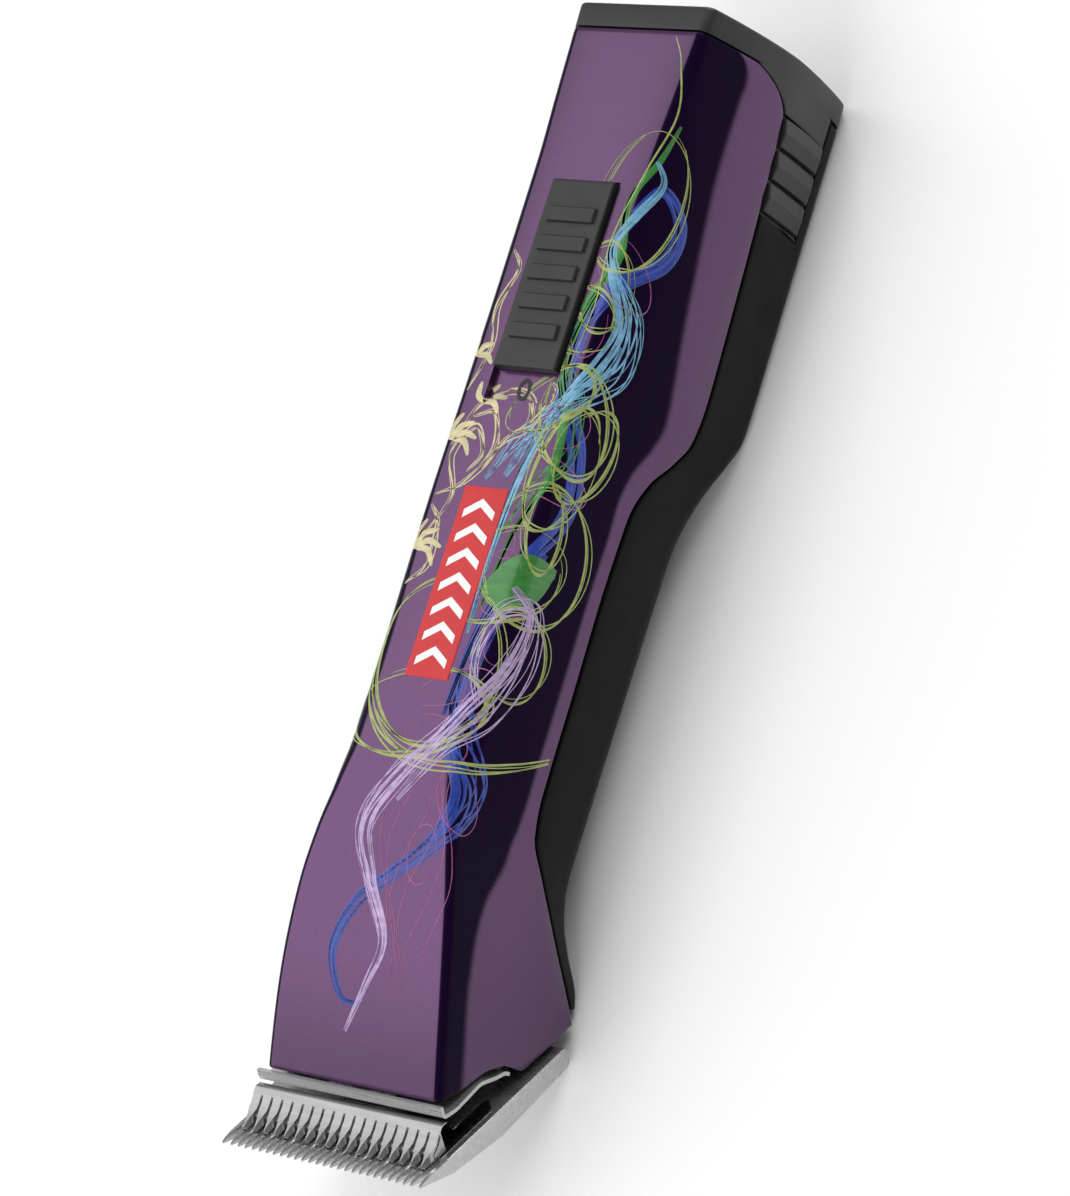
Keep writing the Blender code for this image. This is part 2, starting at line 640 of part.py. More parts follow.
def make_lever():
    """Drive lever on its pin: fork at the crank, finger at the cutter, in a box bracket."""
    half_slot = CRANK_THROW + CRANK_PIN_RADIUS + 0.3
    outline = ((-1.6, LEVER_TIP_Y), (1.6, LEVER_TIP_Y), (2.4, LEVER_PIVOT_Y - 7),
               (3.6, LEVER_PIVOT_Y - 3), (3.6, LEVER_PIVOT_Y + 3), (2.8, LEVER_PIVOT_Y + 8),
               (half_slot + 1.8, LEVER_FORK_Y - 4.5), (half_slot + 1.8, LEVER_FORK_Y + 2.6),
               (half_slot, LEVER_FORK_Y + 2.6), (half_slot, LEVER_FORK_Y - 3.4),
               (-half_slot, LEVER_FORK_Y - 3.4), (-half_slot, LEVER_FORK_Y + 2.6),
               (-half_slot - 1.8, LEVER_FORK_Y + 2.6), (-half_slot - 1.8, LEVER_FORK_Y - 4.5),
               (-2.8, LEVER_PIVOT_Y + 8), (-3.6, LEVER_PIVOT_Y + 3), (-3.6, LEVER_PIVOT_Y - 3),
               (-2.4, LEVER_PIVOT_Y - 7))
    local = [(x, y - LEVER_PIVOT_Y) for x, y in outline]
    lever = prism("drive_lever", local, -2.2, 2.2, "XY", STEEL)
    lever.location = Vector((0, LEVER_PIVOT_Y, AXIS_HEIGHT)) * MM
    finger_top = from_blade_axes(FINGER_ALONG, 9.6)
    finger_tip = from_blade_axes(FINGER_ALONG, 5.2)
    shift = (LEVER_PIVOT_Y, AXIS_HEIGHT)
    finger = rod("finger_tool", 1.85, (0, finger_tip[0] - shift[0], finger_tip[1] - shift[1]),
                 (0, finger_top[0] - shift[0], finger_top[1] - shift[1]), parent=lever, cutter=True,
                 sides=16)
    cut(lever, finger, "UNION")
    hole = rod("lever_hole_tool", 1.6, (0, 0, -5), (0, 0, 5), parent=lever, cutter=True)
    cut(lever, hole)
    rod("lever_pivot_pin", 1.25, (0, LEVER_PIVOT_Y, 19.2), (0, LEVER_PIVOT_Y, 31.8), STEEL)
    outer = ((-11, 19.6), (11, 19.6), (11, 31.4), (-11, 31.4))
    inner = ((-9.4, 21.4), (9.4, 21.4), (9.4, 29.6), (-9.4, 29.6))
    bracket = prism("lever_bracket", outer, LEVER_PIVOT_Y - 5, LEVER_PIVOT_Y + 5, "XZ", DARK_STEEL,
                    holes=(inner,))
    bore = rod("bracket_hole_tool", 1.6, (0, LEVER_PIVOT_Y, 15), (0, LEVER_PIVOT_Y, 36), cutter=True)
    cut(bracket, bore)


# ---------------------------------------------------------------- head frame and hinge

def blade_axes():
    """Empty at the comb's tips: +Y runs back along the blade, +Z out of its cutter side."""
    empty = bpy.data.objects.new("blade_axes", None)
    PARTS.objects.link(empty)
    empty.location = Vector((0, *BLADE_ORIGIN)) * MM
    empty.rotation_euler = (BLADE_ANGLE, 0, 0)
    return empty


def make_head_frame(blade):
    """Metal plate across the head with the lever's slot and two lugs for the hinge pin."""
    frame = box("head_frame", (-17.0, 18.5, 8.2), (17.0, 44.0, 10.0), DARK_STEEL, blade)
    slot = box("frame_slot_tool", (-6.5, 16.0, 6.0), (6.5, 31.0, 12.0), parent=blade, cutter=True)
    cut(frame, slot)
    for sign, side in ((-1, "left"), (1, "right")):
        x = sign * 13.0
        screw = rod("frame_screw_" + side, 2.1, (x, 36, 6.6), (x, 36, 7.9), STEEL, blade, sides=16)
        shank = rod("frame_shank_tool_" + side, 1.2, (x, 36, 7.4), (x, 36, 15.0), parent=blade,
                    cutter=True, sides=12)
        hole = rod("frame_hole_tool_" + side, 1.5, (x, 36, 5.0), (x, 36, 17.0), parent=blade,
                   cutter=True, sides=12)
        cut(screw, shank, "UNION")
        cut(frame, hole)
    along, height = HINGE_PLACE
    outline = ((along - 1.0, height - 1.4), (along + 1.0, height - 1.4), (along + 1.8, height),
               (along + 0.6, 9.5), (along - 3.6, 9.5), (along - 3.6, 8.7), (along - 1.6, 7.0),
               (along - 1.6, height))
    for sign, side in ((-1, "left"), (1, "right")):
        low, high = sorted((sign * 6.2, sign * 8.8))
        lug = prism("lug_tool_" + side, outline, low, high, "YZ", parent=blade, cutter=True)
        bore = rod("frame_bore_tool_" + side, 1.15, (low - 2, along, height),
                   (high + 2, along, height), parent=blade, cutter=True, sides=16)
        cut(lug, bore)
        cut(frame, lug, "UNION")
    rod("hinge_pin", 0.85, (-8.6, along, height), (8.6, along, height), STEEL, blade, sides=16)


def make_hinge_tongue(blade):
    """Flat tongue that the blade set slides onto, with the barrel that turns on the pin."""
    along, height = HINGE_PLACE
    tongue = box("hinge_tongue", (-3.4, 33.0, height), (3.4, along, height + 0.8), STEEL,
                 blade)
    barrel = rod("barrel_tool", 1.45, (-5.6, along, height), (5.6, along, height), parent=blade,
                 cutter=True, sides=20)
    bore = rod("barrel_bore_tool", 1.15, (-9, along, height), (9, along, height), parent=blade,
               cutter=True, sides=20)
    cut(tongue, barrel, "UNION")
    cut(tongue, bore)


# ---------------------------------------------------------------- blade set

def make_comb(blade):
    """Lower blade: a ground plate with a row of guard teeth and a rounded heel."""
    heel = [(43.4 + 2.0 * math.cos(a), -1.0 + 2.1 * math.sin(a))
            for a in (math.radians(-70 + 30 * i) for i in range(4))]
    front = [(0.0, 0.1), (9.0, -2.7), (23.0, -4.3)]
    top = [(45.1, 0.1), (44.6, 0.7), (3.0, 0.7), (0.4, 0.4)]
    outline = front + heel + top
    comb = prism("blade_comb", outline, -COMB_HALF_WIDTH, COMB_HALF_WIDTH, "YZ", STEEL, blade)
    pitch = 2 * COMB_HALF_WIDTH / COMB_TEETH
    slots = slot_row("comb_slots", COMB_TEETH - 1, pitch, COMB_SLOT_WIDTH, (-1.0, -5.0),
                     (COMB_TOOTH_LENGTH, 3.0), blade)
    cut(comb, slots)
    for sign, side in ((-1, "left"), (1, "right")):
        x = sign * 12.5
        hole = rod("comb_hole_tool_" + side, 1.3, (x, 36, -6), (x, 36, 6), parent=blade, cutter=True,
                   sides=16)
        cut(comb, hole)
    return comb


def slot_row(name, count, pitch, width, low, high, parent):
    """A row of thin blocks, evenly spaced across X, used to cut teeth."""
    mesh = bpy.data.meshes.new(name)
    bm = bmesh.new()
    for i in range(count):
        x = (i - (count - 1) / 2) * pitch
        made = bmesh.ops.create_cube(bm, size=1.0)["verts"]
        size = (width * MM, (high[0] - low[0]) * MM, (high[1] - low[1]) * MM)
        centre = (x * MM, (high[0] + low[0]) / 2 * MM, (high[1] + low[1]) / 2 * MM)
        bmesh.ops.scale(bm, vec=size, verts=made)
        bmesh.ops.translate(bm, vec=centre, verts=made)
    bm.to_mesh(mesh)
    bm.free()
    return add_object(name, mesh, None, parent, cutter=True)


def make_cutter(blade):
    """Upper blade that strokes from side to side, with the plastic block the lever drives."""
    outline = ((4.1, 1.0), (24.0, 1.0), (24.0, 3.0), (22.6, 3.6), (13.0, 3.6), (12.3, 5.9),
               (10.7, 5.9), (7.8, 3.4), (4.1, 2.3))
    cutter = prism("blade_cutter", outline, -CUTTER_HALF_WIDTH, CUTTER_HALF_WIDTH, "YZ", STEEL,
                   blade)
    pitch = 2 * CUTTER_HALF_WIDTH / CUTTER_TEETH
    slots = slot_row("cutter_slots", CUTTER_TEETH - 1, pitch, CUTTER_SLOT_WIDTH,
                     (CUTTER_TOOTH_START, 0.5), (CUTTER_TOOTH_END, 8.0), blade)
    cut(cutter, slots)
    guide = ((-5.0, 3.9), (5.0, 3.9), (5.0, 6.9), (2.2, 6.9), (2.2, 4.7), (-2.2, 4.7),
             (-2.2, 6.9), (-5.0, 6.9))
    prism("drive_guide", guide, 15.5, 23.5, "XZ", WHITE_PLASTIC, blade)


def make_tension_spring(blade):
    """Folded spring plate that presses the cutter down: a front lip, two legs and two feet."""
    outline = ((11.7, 6.3), (16.0, 5.7), (23.6, 6.2), (27.9, 4.6), (30.2, 4.2), (32.6, 1.0),
               (39.0, 1.0), (39.0, 1.7), (33.6, 1.7), (30.6, 4.8), (28.0, 5.3), (23.6, 7.0),
               (16.0, 6.5), (12.5, 7.1), (12.5, 8.5), (11.7, 8.5))
    spring = prism("tension_spring", outline, -22.4, 22.4, "YZ", STEEL, blade)
    middle = box("spring_slot_tool", (-9.0, 14.0, 0.0), (9.0, 45.0, 10.0), parent=blade, cutter=True)
    cut(spring, middle)
    for sign, side in ((-1, "left"), (1, "right")):
        low, high = sorted((sign * 16.5, sign * 30.0))
        trim = box("spring_trim_tool_" + side, (low, 31.2, 0.0), (high, 45.0, 10.0), parent=blade,
                   cutter=True)
        cut(spring, trim)
        x = sign * 12.5
        hole = rod("spring_hole_tool_" + side, 1.3, (x, 36, -6), (x, 36, 6), parent=blade,
                   cutter=True, sides=16)
        cut(spring, hole)
        screw = rod("blade_screw_" + side, 2.0, (x, 36, 2.0), (x, 36, 3.2), DARK_STEEL, blade,
                    sides=16)
        shank = rod("blade_shank_tool_" + side, 1.0, (x, 36, -2.4), (x, 36, 3.0), parent=blade,
                    cutter=True, sides=12)
        cut(screw, shank, "UNION")


def make_blade_socket(blade):
    """Folded channel on the comb's heel that holds the hinge tongue."""
    outline = ((-5.6, 1.0), (5.6, 1.0), (5.6, 4.3), (2.4, 4.3), (2.4, 3.6), (4.4, 3.6),
               (4.4, 2.0), (-4.4, 2.0), (-4.4, 3.6), (-2.4, 3.6), (-2.4, 4.3), (-5.6, 4.3))
    prism("blade_socket", outline, 32.6, 42.6, "XZ", STEEL, blade)


make_front_shell()
make_rear_shell()
make_case_screws()
make_battery_cap()
make_latch_buttons()
make_battery_inside()
make_power_slider()
make_electronics()
make_motor()
make_lever()
BLADE = blade_axes()
make_head_frame(BLADE)
make_hinge_tongue(BLADE)
make_comb(BLADE)
make_cutter(BLADE)
make_tension_spring(BLADE)
make_blade_socket(BLADE)
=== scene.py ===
"""Looks of a cordless pet clipper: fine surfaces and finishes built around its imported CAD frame.

Lengths here are millimetres in the part's own frame and MM turns them into metres: +Z is the
decorated face, -Y the blade end, +Y the battery end.
"""

import math

import bmesh
import bpy
import numpy as np
from bpy.props import FloatProperty, FloatVectorProperty, IntProperty, PointerProperty
from mathutils import Matrix, Vector


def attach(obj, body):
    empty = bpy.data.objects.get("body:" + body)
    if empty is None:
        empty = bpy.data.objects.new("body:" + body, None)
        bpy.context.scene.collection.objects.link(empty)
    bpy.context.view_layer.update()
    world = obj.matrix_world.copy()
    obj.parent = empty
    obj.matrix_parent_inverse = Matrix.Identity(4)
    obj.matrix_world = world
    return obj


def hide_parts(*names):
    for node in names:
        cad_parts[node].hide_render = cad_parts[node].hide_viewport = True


bl_info = {
    "name": "Pet Clipper Looks",
    "version": (1, 0, 0),
    "blender": (4, 5, 0),
    "location": "View3D > Sidebar > Clipper",
    "description": "Builds the housing, printed ribbons, switch, battery pack and blade of a pet clipper",
    "category": "Object",
}

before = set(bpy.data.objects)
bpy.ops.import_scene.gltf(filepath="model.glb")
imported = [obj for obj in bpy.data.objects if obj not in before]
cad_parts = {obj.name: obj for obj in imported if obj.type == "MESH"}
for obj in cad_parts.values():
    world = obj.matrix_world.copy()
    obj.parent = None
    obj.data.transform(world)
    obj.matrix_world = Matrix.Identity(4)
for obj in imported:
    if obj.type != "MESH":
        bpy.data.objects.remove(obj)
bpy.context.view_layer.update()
MM = 0.001

# Housing outline, as in the part: (place along Y, value) pairs on a smooth monotone curve.
FACE_HEIGHT = 44.6
FACE_DROP = 15.1
FACE_DROP_START = -38.0
FACE_DROP_LENGTH = 60.0
FACE_DROP_POWER = 1.6
FACE_HALF_WIDTH = ((-98, 21.2), (-82, 20.4), (-64, 18.5), (-54, 16.6), (-45, 14.8), (-36, 14.0),
                   (-24, 14.0), (0, 14.0), (20, 13.8), (40, 13.7), (80, 14.1), (95, 14.9),
                   (114, 15.9))
SIDE_HALF_WIDTH = ((-98, 21.5), (-73, 23.0), (-60, 21.2), (-45, 19.3), (-20, 19.0), (15, 19.4),
                   (30, 20.9), (42, 22.2), (60, 22.3), (114, 22.1))
BACK_HALF_WIDTH = ((-73, 22.6), (-66, 20.8), (-58, 18.8), (-48, 17.2), (15, 17.2), (28, 18.6),
                   (44, 20.6), (80, 20.0), (114, 19.4))
WIDEST_HEIGHT = ((-98, 16.0), (-73, 10.0), (-50, 20.0), (-20, 23.0), (18, 23.0), (40, 21.0),
                 (114, 21.5))
BACK_HEIGHT = ((-73.8, 0.0), (-69, 0.0), (-62, 3.2), (-56, 5.5), (-50, 6.0), (16, 6.0),
               (20, 5.9), (25.6, 5.3), (31.5, 3.8), (38, 1.6), (43, 0.1), (46, 0.0), (114, 0.0))
SEAM_HEIGHT = ((-73.8, 0.5), (-66, 7.2), (-60, 11.9), (-52, 18.3), (-45, 23.3), (-38, 24.5),
               (-16, 25.0), (6, 25.7), (18, 25.6), (25, 23.8), (31, 19.6), (36, 17.2),
               (42, 17.0), (57, 17.8), (83, 19.6), (102, 21.4), (105, 23.6), (107.4, 27.6),
               (108.6, 31.5))
CREASE_RADIUS = ((-98, 1.8), (-64, 1.8), (-54, 2.0), (-45, 3.0), (-36, 4.2), (-20, 3.9),
                 (0, 2.8), (20, 1.8), (114, 1.8))
BACK_RADIUS = ((-73, 1.6), (-48, 4.5), (18, 4.5), (44, 3.0), (114, 3.0))
FRONT_SIDE_POWER = 1.5
REAR_SIDE_POWER = 1.8
SHELL_END = 108.6
REAR_END = 108.3
CAP_START = 108.9
CAP_END = 114.0
RIM_PATH = ((13.2, 9.0), (18.8, 7.8), (26.2, 7.3), (30.9, 5.6), (34.7, 1.8), (50.4, 1.6))
HEAD_BLEND_END = -38.0
RIM_LEAN = 0.8
FIRST_SHARE = 0.07
SIDE_COLUMNS = 47
ARC_COLUMNS = 11
BLADE_ORIGIN = (-114.0, 31.0)
BLADE_ANGLE = math.radians(-39.3)

# Battery pack, switch and blade set.
PAD_START = 83.0
PAD_END = 102.4
PAD_LOW = 5.2
SLIDER_HALF_WIDTH = 7.4
SLIDER_START = 38.2
SLIDER_END = 76.5
SLIDER_BASE = 43.7
RECESS_HALF_WIDTH = 7.85
RECESS_START = 31.9
RECESS_END = 76.9
SLOT_HALF_WIDTH = 3.0
SLOT_START = 43.6
SLOT_END = 62.6
COMB_HALF_WIDTH = 24.5
COMB_TEETH = 28
CUTTER_HALF_WIDTH = 22.9
CUTTER_TEETH = 18
SCREW_PLACES = ((-9.5, -50.0), (9.5, -50.0), (-9.5, 14.0), (9.5, 14.0))


# ---------------------------------------------------------------- user settings

class ClipperSizes(bpy.types.PropertyGroup):
    """Lengths that a user would change."""
    wall: FloatProperty(name="Shell wall", description="Thickness of the housing's shells",
                        default=0.0011, unit="LENGTH", subtype="DISTANCE")
    rolled_edge: FloatProperty(name="Rolled edge", description="How far a shell's edge turns in",
                               default=0.00022, unit="LENGTH", subtype="DISTANCE")
    recess_depth: FloatProperty(name="Recess depth", description="Depth of the switch's recess",
                                default=0.0012, unit="LENGTH", subtype="DISTANCE")
    print_height: FloatProperty(name="Print height", description="Height of the printed ribbons",
                                default=0.00003, unit="LENGTH", subtype="DISTANCE", precision=6)
    ridge_height: FloatProperty(name="Ridge height", description="Height of a latch button's ridge",
                                default=0.0012, unit="LENGTH", subtype="DISTANCE", precision=5)
    slider_ribs: IntProperty(name="Slider ribs", description="Ribs across the thumb slider",
                             default=5, min=1, max=9)


class ClipperColours(bpy.types.PropertyGroup):
    """Finishes that a user would change."""
    lacquer: FloatVectorProperty(name="Lacquer", description="Metallic lacquer of the front shell",
                                 default=(0.119, 0.042, 0.138), size=3, subtype="COLOR")
    casing: FloatVectorProperty(name="Casing", description="Moulded rear shell and battery cap",
                                default=(0.011, 0.011, 0.0115), size=3, subtype="COLOR")
    switch: FloatVectorProperty(name="Switch", description="Thumb slider and latch buttons",
                                default=(0.019, 0.019, 0.020), size=3, subtype="COLOR")
    badge: FloatVectorProperty(name="Badge", description="Plain badge on the face",
                               default=(0.58, 0.008, 0.012), size=3, subtype="COLOR")
    steel: FloatVectorProperty(name="Steel", description="Ground steel of the blade set",
                               default=(0.44, 0.44, 0.44), size=3, subtype="COLOR")


def sizes():
    return bpy.context.scene.clipper_sizes


def colours():
    return bpy.context.scene.clipper_colours


# ---------------------------------------------------------------- curves and grids

def smooth_value(points, place):
    """Monotone cubic through (place, value) pairs, read at an array of places.

    Each span is a Hermite cubic, and a tangent is the harmonic mean of the slopes beside it,
    or nothing where the slopes differ in sign."""
    xs, ys = np.array(points, float).T
    place = np.clip(np.asarray(place, float), xs[0], xs[-1])
    slopes = np.diff(ys) / np.diff(xs)
    before, after = slopes[:-1], slopes[1:]
    same_way = before * after > 0
    total = np.where(same_way, before + after, 1.0)
    inner = np.where(same_way, 2 * before * after / total, 0.0)
    tangents = np.concatenate((slopes[:1], inner, slopes[-1:]))
    i = np.clip(np.searchsorted(xs, place, side="right") - 1, 0, len(xs) - 2)
    h = xs[i + 1] - xs[i]
    t = (place - xs[i]) / h
    rise = ys[i] * (2 * t ** 3 - 3 * t ** 2 + 1) + ys[i + 1] * (3 * t ** 2 - 2 * t ** 3)
    bend = tangents[i] * (t ** 3 - 2 * t ** 2 + t) + tangents[i + 1] * (t ** 3 - t ** 2)
    return rise + h * bend


def ease(value, low, high):
    """Smooth step: 0 below low, 1 above high, and 3t^2 - 2t^3 between them."""
    t = np.clip((value - low) / (high - low), 0.0, 1.0)
    return t * t * (3 - 2 * t)


def window(value, low, high, blur):
    """1 between low and high, 0 outside, easing over blur at each end."""
    return ease(value, low, low + blur) * (1 - ease(value, high - blur, high))


def surface_normals(points):
    """Unit normals of a grid of points: the cross product of its two central differences."""
    along = np.gradient(points, axis=0)
    across = np.gradient(points, axis=1)
    normals = np.cross(along, across)
    return normals / np.maximum(np.linalg.norm(normals, axis=2, keepdims=True), 1e-12)


def walled_faces(keep, joined):
    """Corner numbers of a grid's two skins and of the walls round every kept patch of cells.

    The outer skin's points come first, row by row, and the inner skin's after them. A wall
    stands on each side of a kept cell whose neighbour isn't kept."""
    rows, columns = keep.shape
    wide = columns if joined else columns + 1
    i, j = np.nonzero(keep)
    a = i * wide + j
    b = i * wide + (j + 1) % wide
    c = b + wide
    d = a + wide
    inner = (rows + 1) * wide
    faces = [np.stack((a, b, c, d), 1), np.stack((d, c, b, a), 1) + inner]
    padded = np.zeros((rows + 2, columns + 2), bool)
    padded[1:-1, 1:-1] = keep
    if joined:
        padded[1:-1, 0] = keep[:, -1]
        padded[1:-1, -1] = keep[:, 0]
    sides = ((-1, 0, a, b), (1, 0, c, d), (0, -1, d, a), (0, 1, b, c))
    for di, dj, start, end in sides:
        edge = ~padded[i + 1 + di, j + 1 + dj]
        s, e = start[edge], end[edge]
        faces.append(np.stack((e, s, s + inner, e + inner), 1))
    return np.concatenate(faces)


def make_mesh(name, points, faces, sharp_angle=35.0, shade=None):
    """Mesh from arrays of points (millimetres) and faces, merged, turned outwards and shaded.

    A shade, one value for each point, is kept with the mesh for its material to read."""
    mesh = bpy.data.meshes.new(name)
    mesh.from_pydata((np.asarray(points).reshape(-1, 3) * MM).tolist(), [], faces)
    if shade is not None:
        values = mesh.attributes.new("shade", "FLOAT", "POINT").data
        values.foreach_set("value", np.asarray(shade, np.float32).ravel())
    bm = bmesh.new()
    bm.from_mesh(mesh)
    bmesh.ops.remove_doubles(bm, verts=bm.verts, dist=2e-7)
    bmesh.ops.dissolve_degenerate(bm, edges=bm.edges, dist=2e-7)
    loose = [v for v in bm.verts if not v.link_faces]
    bmesh.ops.delete(bm, geom=loose, context="VERTS")
    bmesh.ops.recalc_face_normals(bm, faces=bm.faces)
    bm.to_mesh(mesh)
    bm.free()
    mesh.shade_smooth()
    mesh.set_sharp_from_angle(angle=math.radians(sharp_angle))
    return mesh


def walled_solid(outer, inner, keep=None, joined=False):
    """Points and faces of a closed solid between an outer and an inner skin of grid points."""
    rows, columns = outer.shape[:2]
    if keep is None:
        keep = np.ones((rows - 1, columns if joined else columns - 1), bool)
    points = np.concatenate((outer.reshape(-1, 3), inner.reshape(-1, 3)))
    return points, walled_faces(keep, joined).tolist()


def walled_mesh(name, outer, inner, keep=None, sharp_angle=35.0, shade=None):
    """Closed mesh between an outer and an inner skin; a shade is given for one skin."""
    points, faces = walled_solid(outer, inner, keep)
    both = None if shade is None else np.concatenate((shade.ravel(), shade.ravel()))
    return make_mesh(name, points, faces, sharp_angle, both)


def joined_solids(solids):
    """Points and faces of several solids as one list."""
    points, faces, first = [], [], 0
    for some_points, some_faces in solids:
        points.append(some_points)
        faces += [[corner + first for corner in face] for face in some_faces]
        first += len(some_points)
    return np.concatenate(points), faces


def add_piece(name, mesh, look, body, slot, *nodes):
    """Put a finished mesh on a CAD body, with its look and the CAD nodes it stands for."""
    obj = bpy.data.objects.new(name, mesh)
    bpy.context.scene.collection.objects.link(obj)
    mesh.materials.clear()
    mesh.materials.append(look)
    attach(obj, body)
    if nodes:
        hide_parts(*nodes)
    return obj


def dress(look, *nodes):
    """Give CAD nodes a better finish."""
    for node in nodes:
        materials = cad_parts[node].data.materials
        materials.clear()
        materials.append(look)


# ---------------------------------------------------------------- housing surface

def face_height(y):
    """Level, then falling as a power of the distance past the start of the head."""
    drop = np.maximum(0.0, FACE_DROP_START - y) / FACE_DROP_LENGTH
    return FACE_HEIGHT - FACE_DROP * drop ** FACE_DROP_POWER


def side_x(y, z):
    """Half width at a place: the widest value less a power of the distance from its height."""
    widest = smooth_value(SIDE_HALF_WIDTH, y)
    middle = smooth_value(WIDEST_HEIGHT, y)
    up = np.clip((z - middle) / (face_height(y) - middle), 0.0, 1.0)
    down = np.clip((middle - z) / (middle - smooth_value(BACK_HEIGHT, y)), 0.0, 1.0)
    to_face = widest - smooth_value(FACE_HALF_WIDTH, y)
    to_back = widest - smooth_value(BACK_HALF_WIDTH, y)
    return widest - to_face * up ** FRONT_SIDE_POWER - to_back * down ** REAR_SIDE_POWER


def from_blade_axes(x, along, height):
    """Points (x, y, z) from places across, along and above the blade: one turn about X."""
    c, s = math.cos(BLADE_ANGLE), math.sin(BLADE_ANGLE)
    y = BLADE_ORIGIN[0] + c * along - s * height
    z = BLADE_ORIGIN[1] + s * along + c * height
    return np.stack(np.broadcast_arrays(x, y, z), -1)


RIM_POINTS = from_blade_axes(0.0, *np.array(RIM_PATH).T)[:, 1:]
RIM_FRONT_Y = RIM_POINTS[0, 0]
RIM_HEEL = RIM_POINTS[-1]


def rim_offset(share):
    """How far the rim stands from the line between its ends, at shares of its length."""
    steps = np.linalg.norm(np.diff(RIM_POINTS, axis=0), axis=1)
    reached = np.concatenate(((0.0,), np.cumsum(steps))) / steps.sum()
    place = np.stack([np.interp(share, reached, RIM_POINTS[:, k]) for k in (0, 1)])
    line = RIM_POINTS[0][:, None] + np.asarray(share) * (RIM_HEEL - RIM_POINTS[0])[:, None]
    return place - line


def seam_place(y_face):
    """Where a station of the head meets the seam: from the rim's heel to level."""
    share = (y_face - RIM_FRONT_Y) / (HEAD_BLEND_END - RIM_FRONT_Y)
    slanted = RIM_HEEL[0] + share * (HEAD_BLEND_END - RIM_HEEL[0])
    return np.where(y_face >= HEAD_BLEND_END, y_face, slanted)


def parabola(start, corner, end, t):
    """Quadratic Bezier between two points, which rounds the corner between them."""
    return (1 - t) ** 2 * start + 2 * t * (1 - t) * corner + t ** 2 * end


def front_half(y_face, shares, arc, across):
    """Half of the front shell as a grid: a row for each station and columns from the seam up.

    The side runs straight in (y, z) from the seam to the crease, bowed by the rim's offset
    near the head's end; the crease is a parabola; the face is level to the centre line."""
    y_face = y_face[:, None]
    y_seam = seam_place(y_face)
    z_seam = smooth_value(SEAM_HEIGHT, y_seam) + 0.35
    top = face_height(y_face)
    radius = smooth_value(CREASE_RADIUS, y_face)
    half_face = smooth_value(FACE_HALF_WIDTH, y_face)
    turn = top - radius
    fade = (np.maximum(0.0, HEAD_BLEND_END - y_face) / (HEAD_BLEND_END - RIM_FRONT_Y)) ** 2
    first = turn + fade * radius
    share = np.maximum(shares, FIRST_SHARE)[None, :]
    bow_y, bow_z = rim_offset(share[0])
    y_side = y_face + (y_seam - y_face) * share + fade * bow_y
    z_side = first + (z_seam - first) * share + fade * bow_z
    y_turn = y_face + RIM_LEAN * fade * radius
    near = np.minimum(shares / FIRST_SHARE, 1.0)[None, :]
    y_side = y_turn + (y_side - y_turn) * near
    z_side = turn + (z_side - turn) * near
    side = np.stack((side_x(y_side, z_side), y_side, z_side), -1)
    start = np.stack((side_x(y_turn, turn), y_turn, turn), -1)
    corner = np.stack((half_face, y_face, top), -1)
    end = np.stack((half_face - radius, y_face, top), -1)
    round_part = parabola(start, corner, end, arc[None, :, None])
    flat_edge = half_face - radius
    outer_count = len(across[0])
    x_outer = RECESS_HALF_WIDTH + 0.1 + (flat_edge - RECESS_HALF_WIDTH - 0.1) * across[0][None, :]
    x_inner = np.broadcast_to(across[1][None, :], (len(y_face), len(across[1])))
    x_flat = np.concatenate((x_outer[:, :outer_count], x_inner), 1)
    y_flat = np.broadcast_to(y_face, x_flat.shape)
    flat = np.stack((x_flat, y_flat, np.broadcast_to(top, x_flat.shape)), -1)
    return np.concatenate((side, round_part, flat), 1)


def mirrored(half):
    """Whole grid from a half whose last column is the centre line."""
    other = half[:, -2::-1] * np.array((-1.0, 1.0, 1.0))
    return np.concatenate((half, other), 1)


def front_stations():
    """Stations along the face, close together in the head and at the recess's ends."""
    head = np.linspace(RIM_FRONT_Y, HEAD_BLEND_END, 70)
    near_rim = RIM_FRONT_Y + np.array((0.12, 0.28))
    body = np.linspace(HEAD_BLEND_END, SHELL_END, 150)
    near_end = SHELL_END - np.array((0.12, 0.28))
    edges = np.array((RECESS_START, RECESS_END))
    steps = np.array((-0.09, 0.0, 0.09))
    recess = (edges[:, None] + steps[None, :]).ravel()
    slot = np.array((SLOT_START, SLOT_END))
    places = np.unique(np.concatenate((head, near_rim, body, near_end, recess, slot)))
    wanted = np.concatenate((recess, slot, near_rim, near_end, head[:1], body[-1:]))
    gap = np.abs(places[:, None] - wanted[None, :]).min(1)
    return places[(gap == 0) | (gap > 0.2)]


def front_skin():
    """Undented outer skin of the front shell, with its stations."""
    stations = front_stations()
    near_seam = np.array((1.0, 0.994, 0.987))
    shares = np.concatenate((near_seam, np.linspace(0.975, 0.0, SIDE_COLUMNS - 3)))
    arc = np.linspace(0.06, 1.0, ARC_COLUMNS)
    outside = np.linspace(0.94, 0.0, 8)
    edge = RECESS_HALF_WIDTH - np.array((0.0, 0.1))
    inside = np.array((6.4, 4.6, SLOT_HALF_WIDTH, 1.5, 0.0))
    half = front_half(stations, shares, arc, (outside, np.concatenate((edge, inside))))
    return stations, mirrored(half)


FRONT_STATIONS, FRONT_SKIN = front_skin()
FRONT_NORMALS = surface_normals(FRONT_SKIN)
if FRONT_NORMALS[len(FRONT_STATIONS) // 2, FRONT_SKIN.shape[1] // 2, 2] < 0:
    FRONT_NORMALS = -FRONT_NORMALS


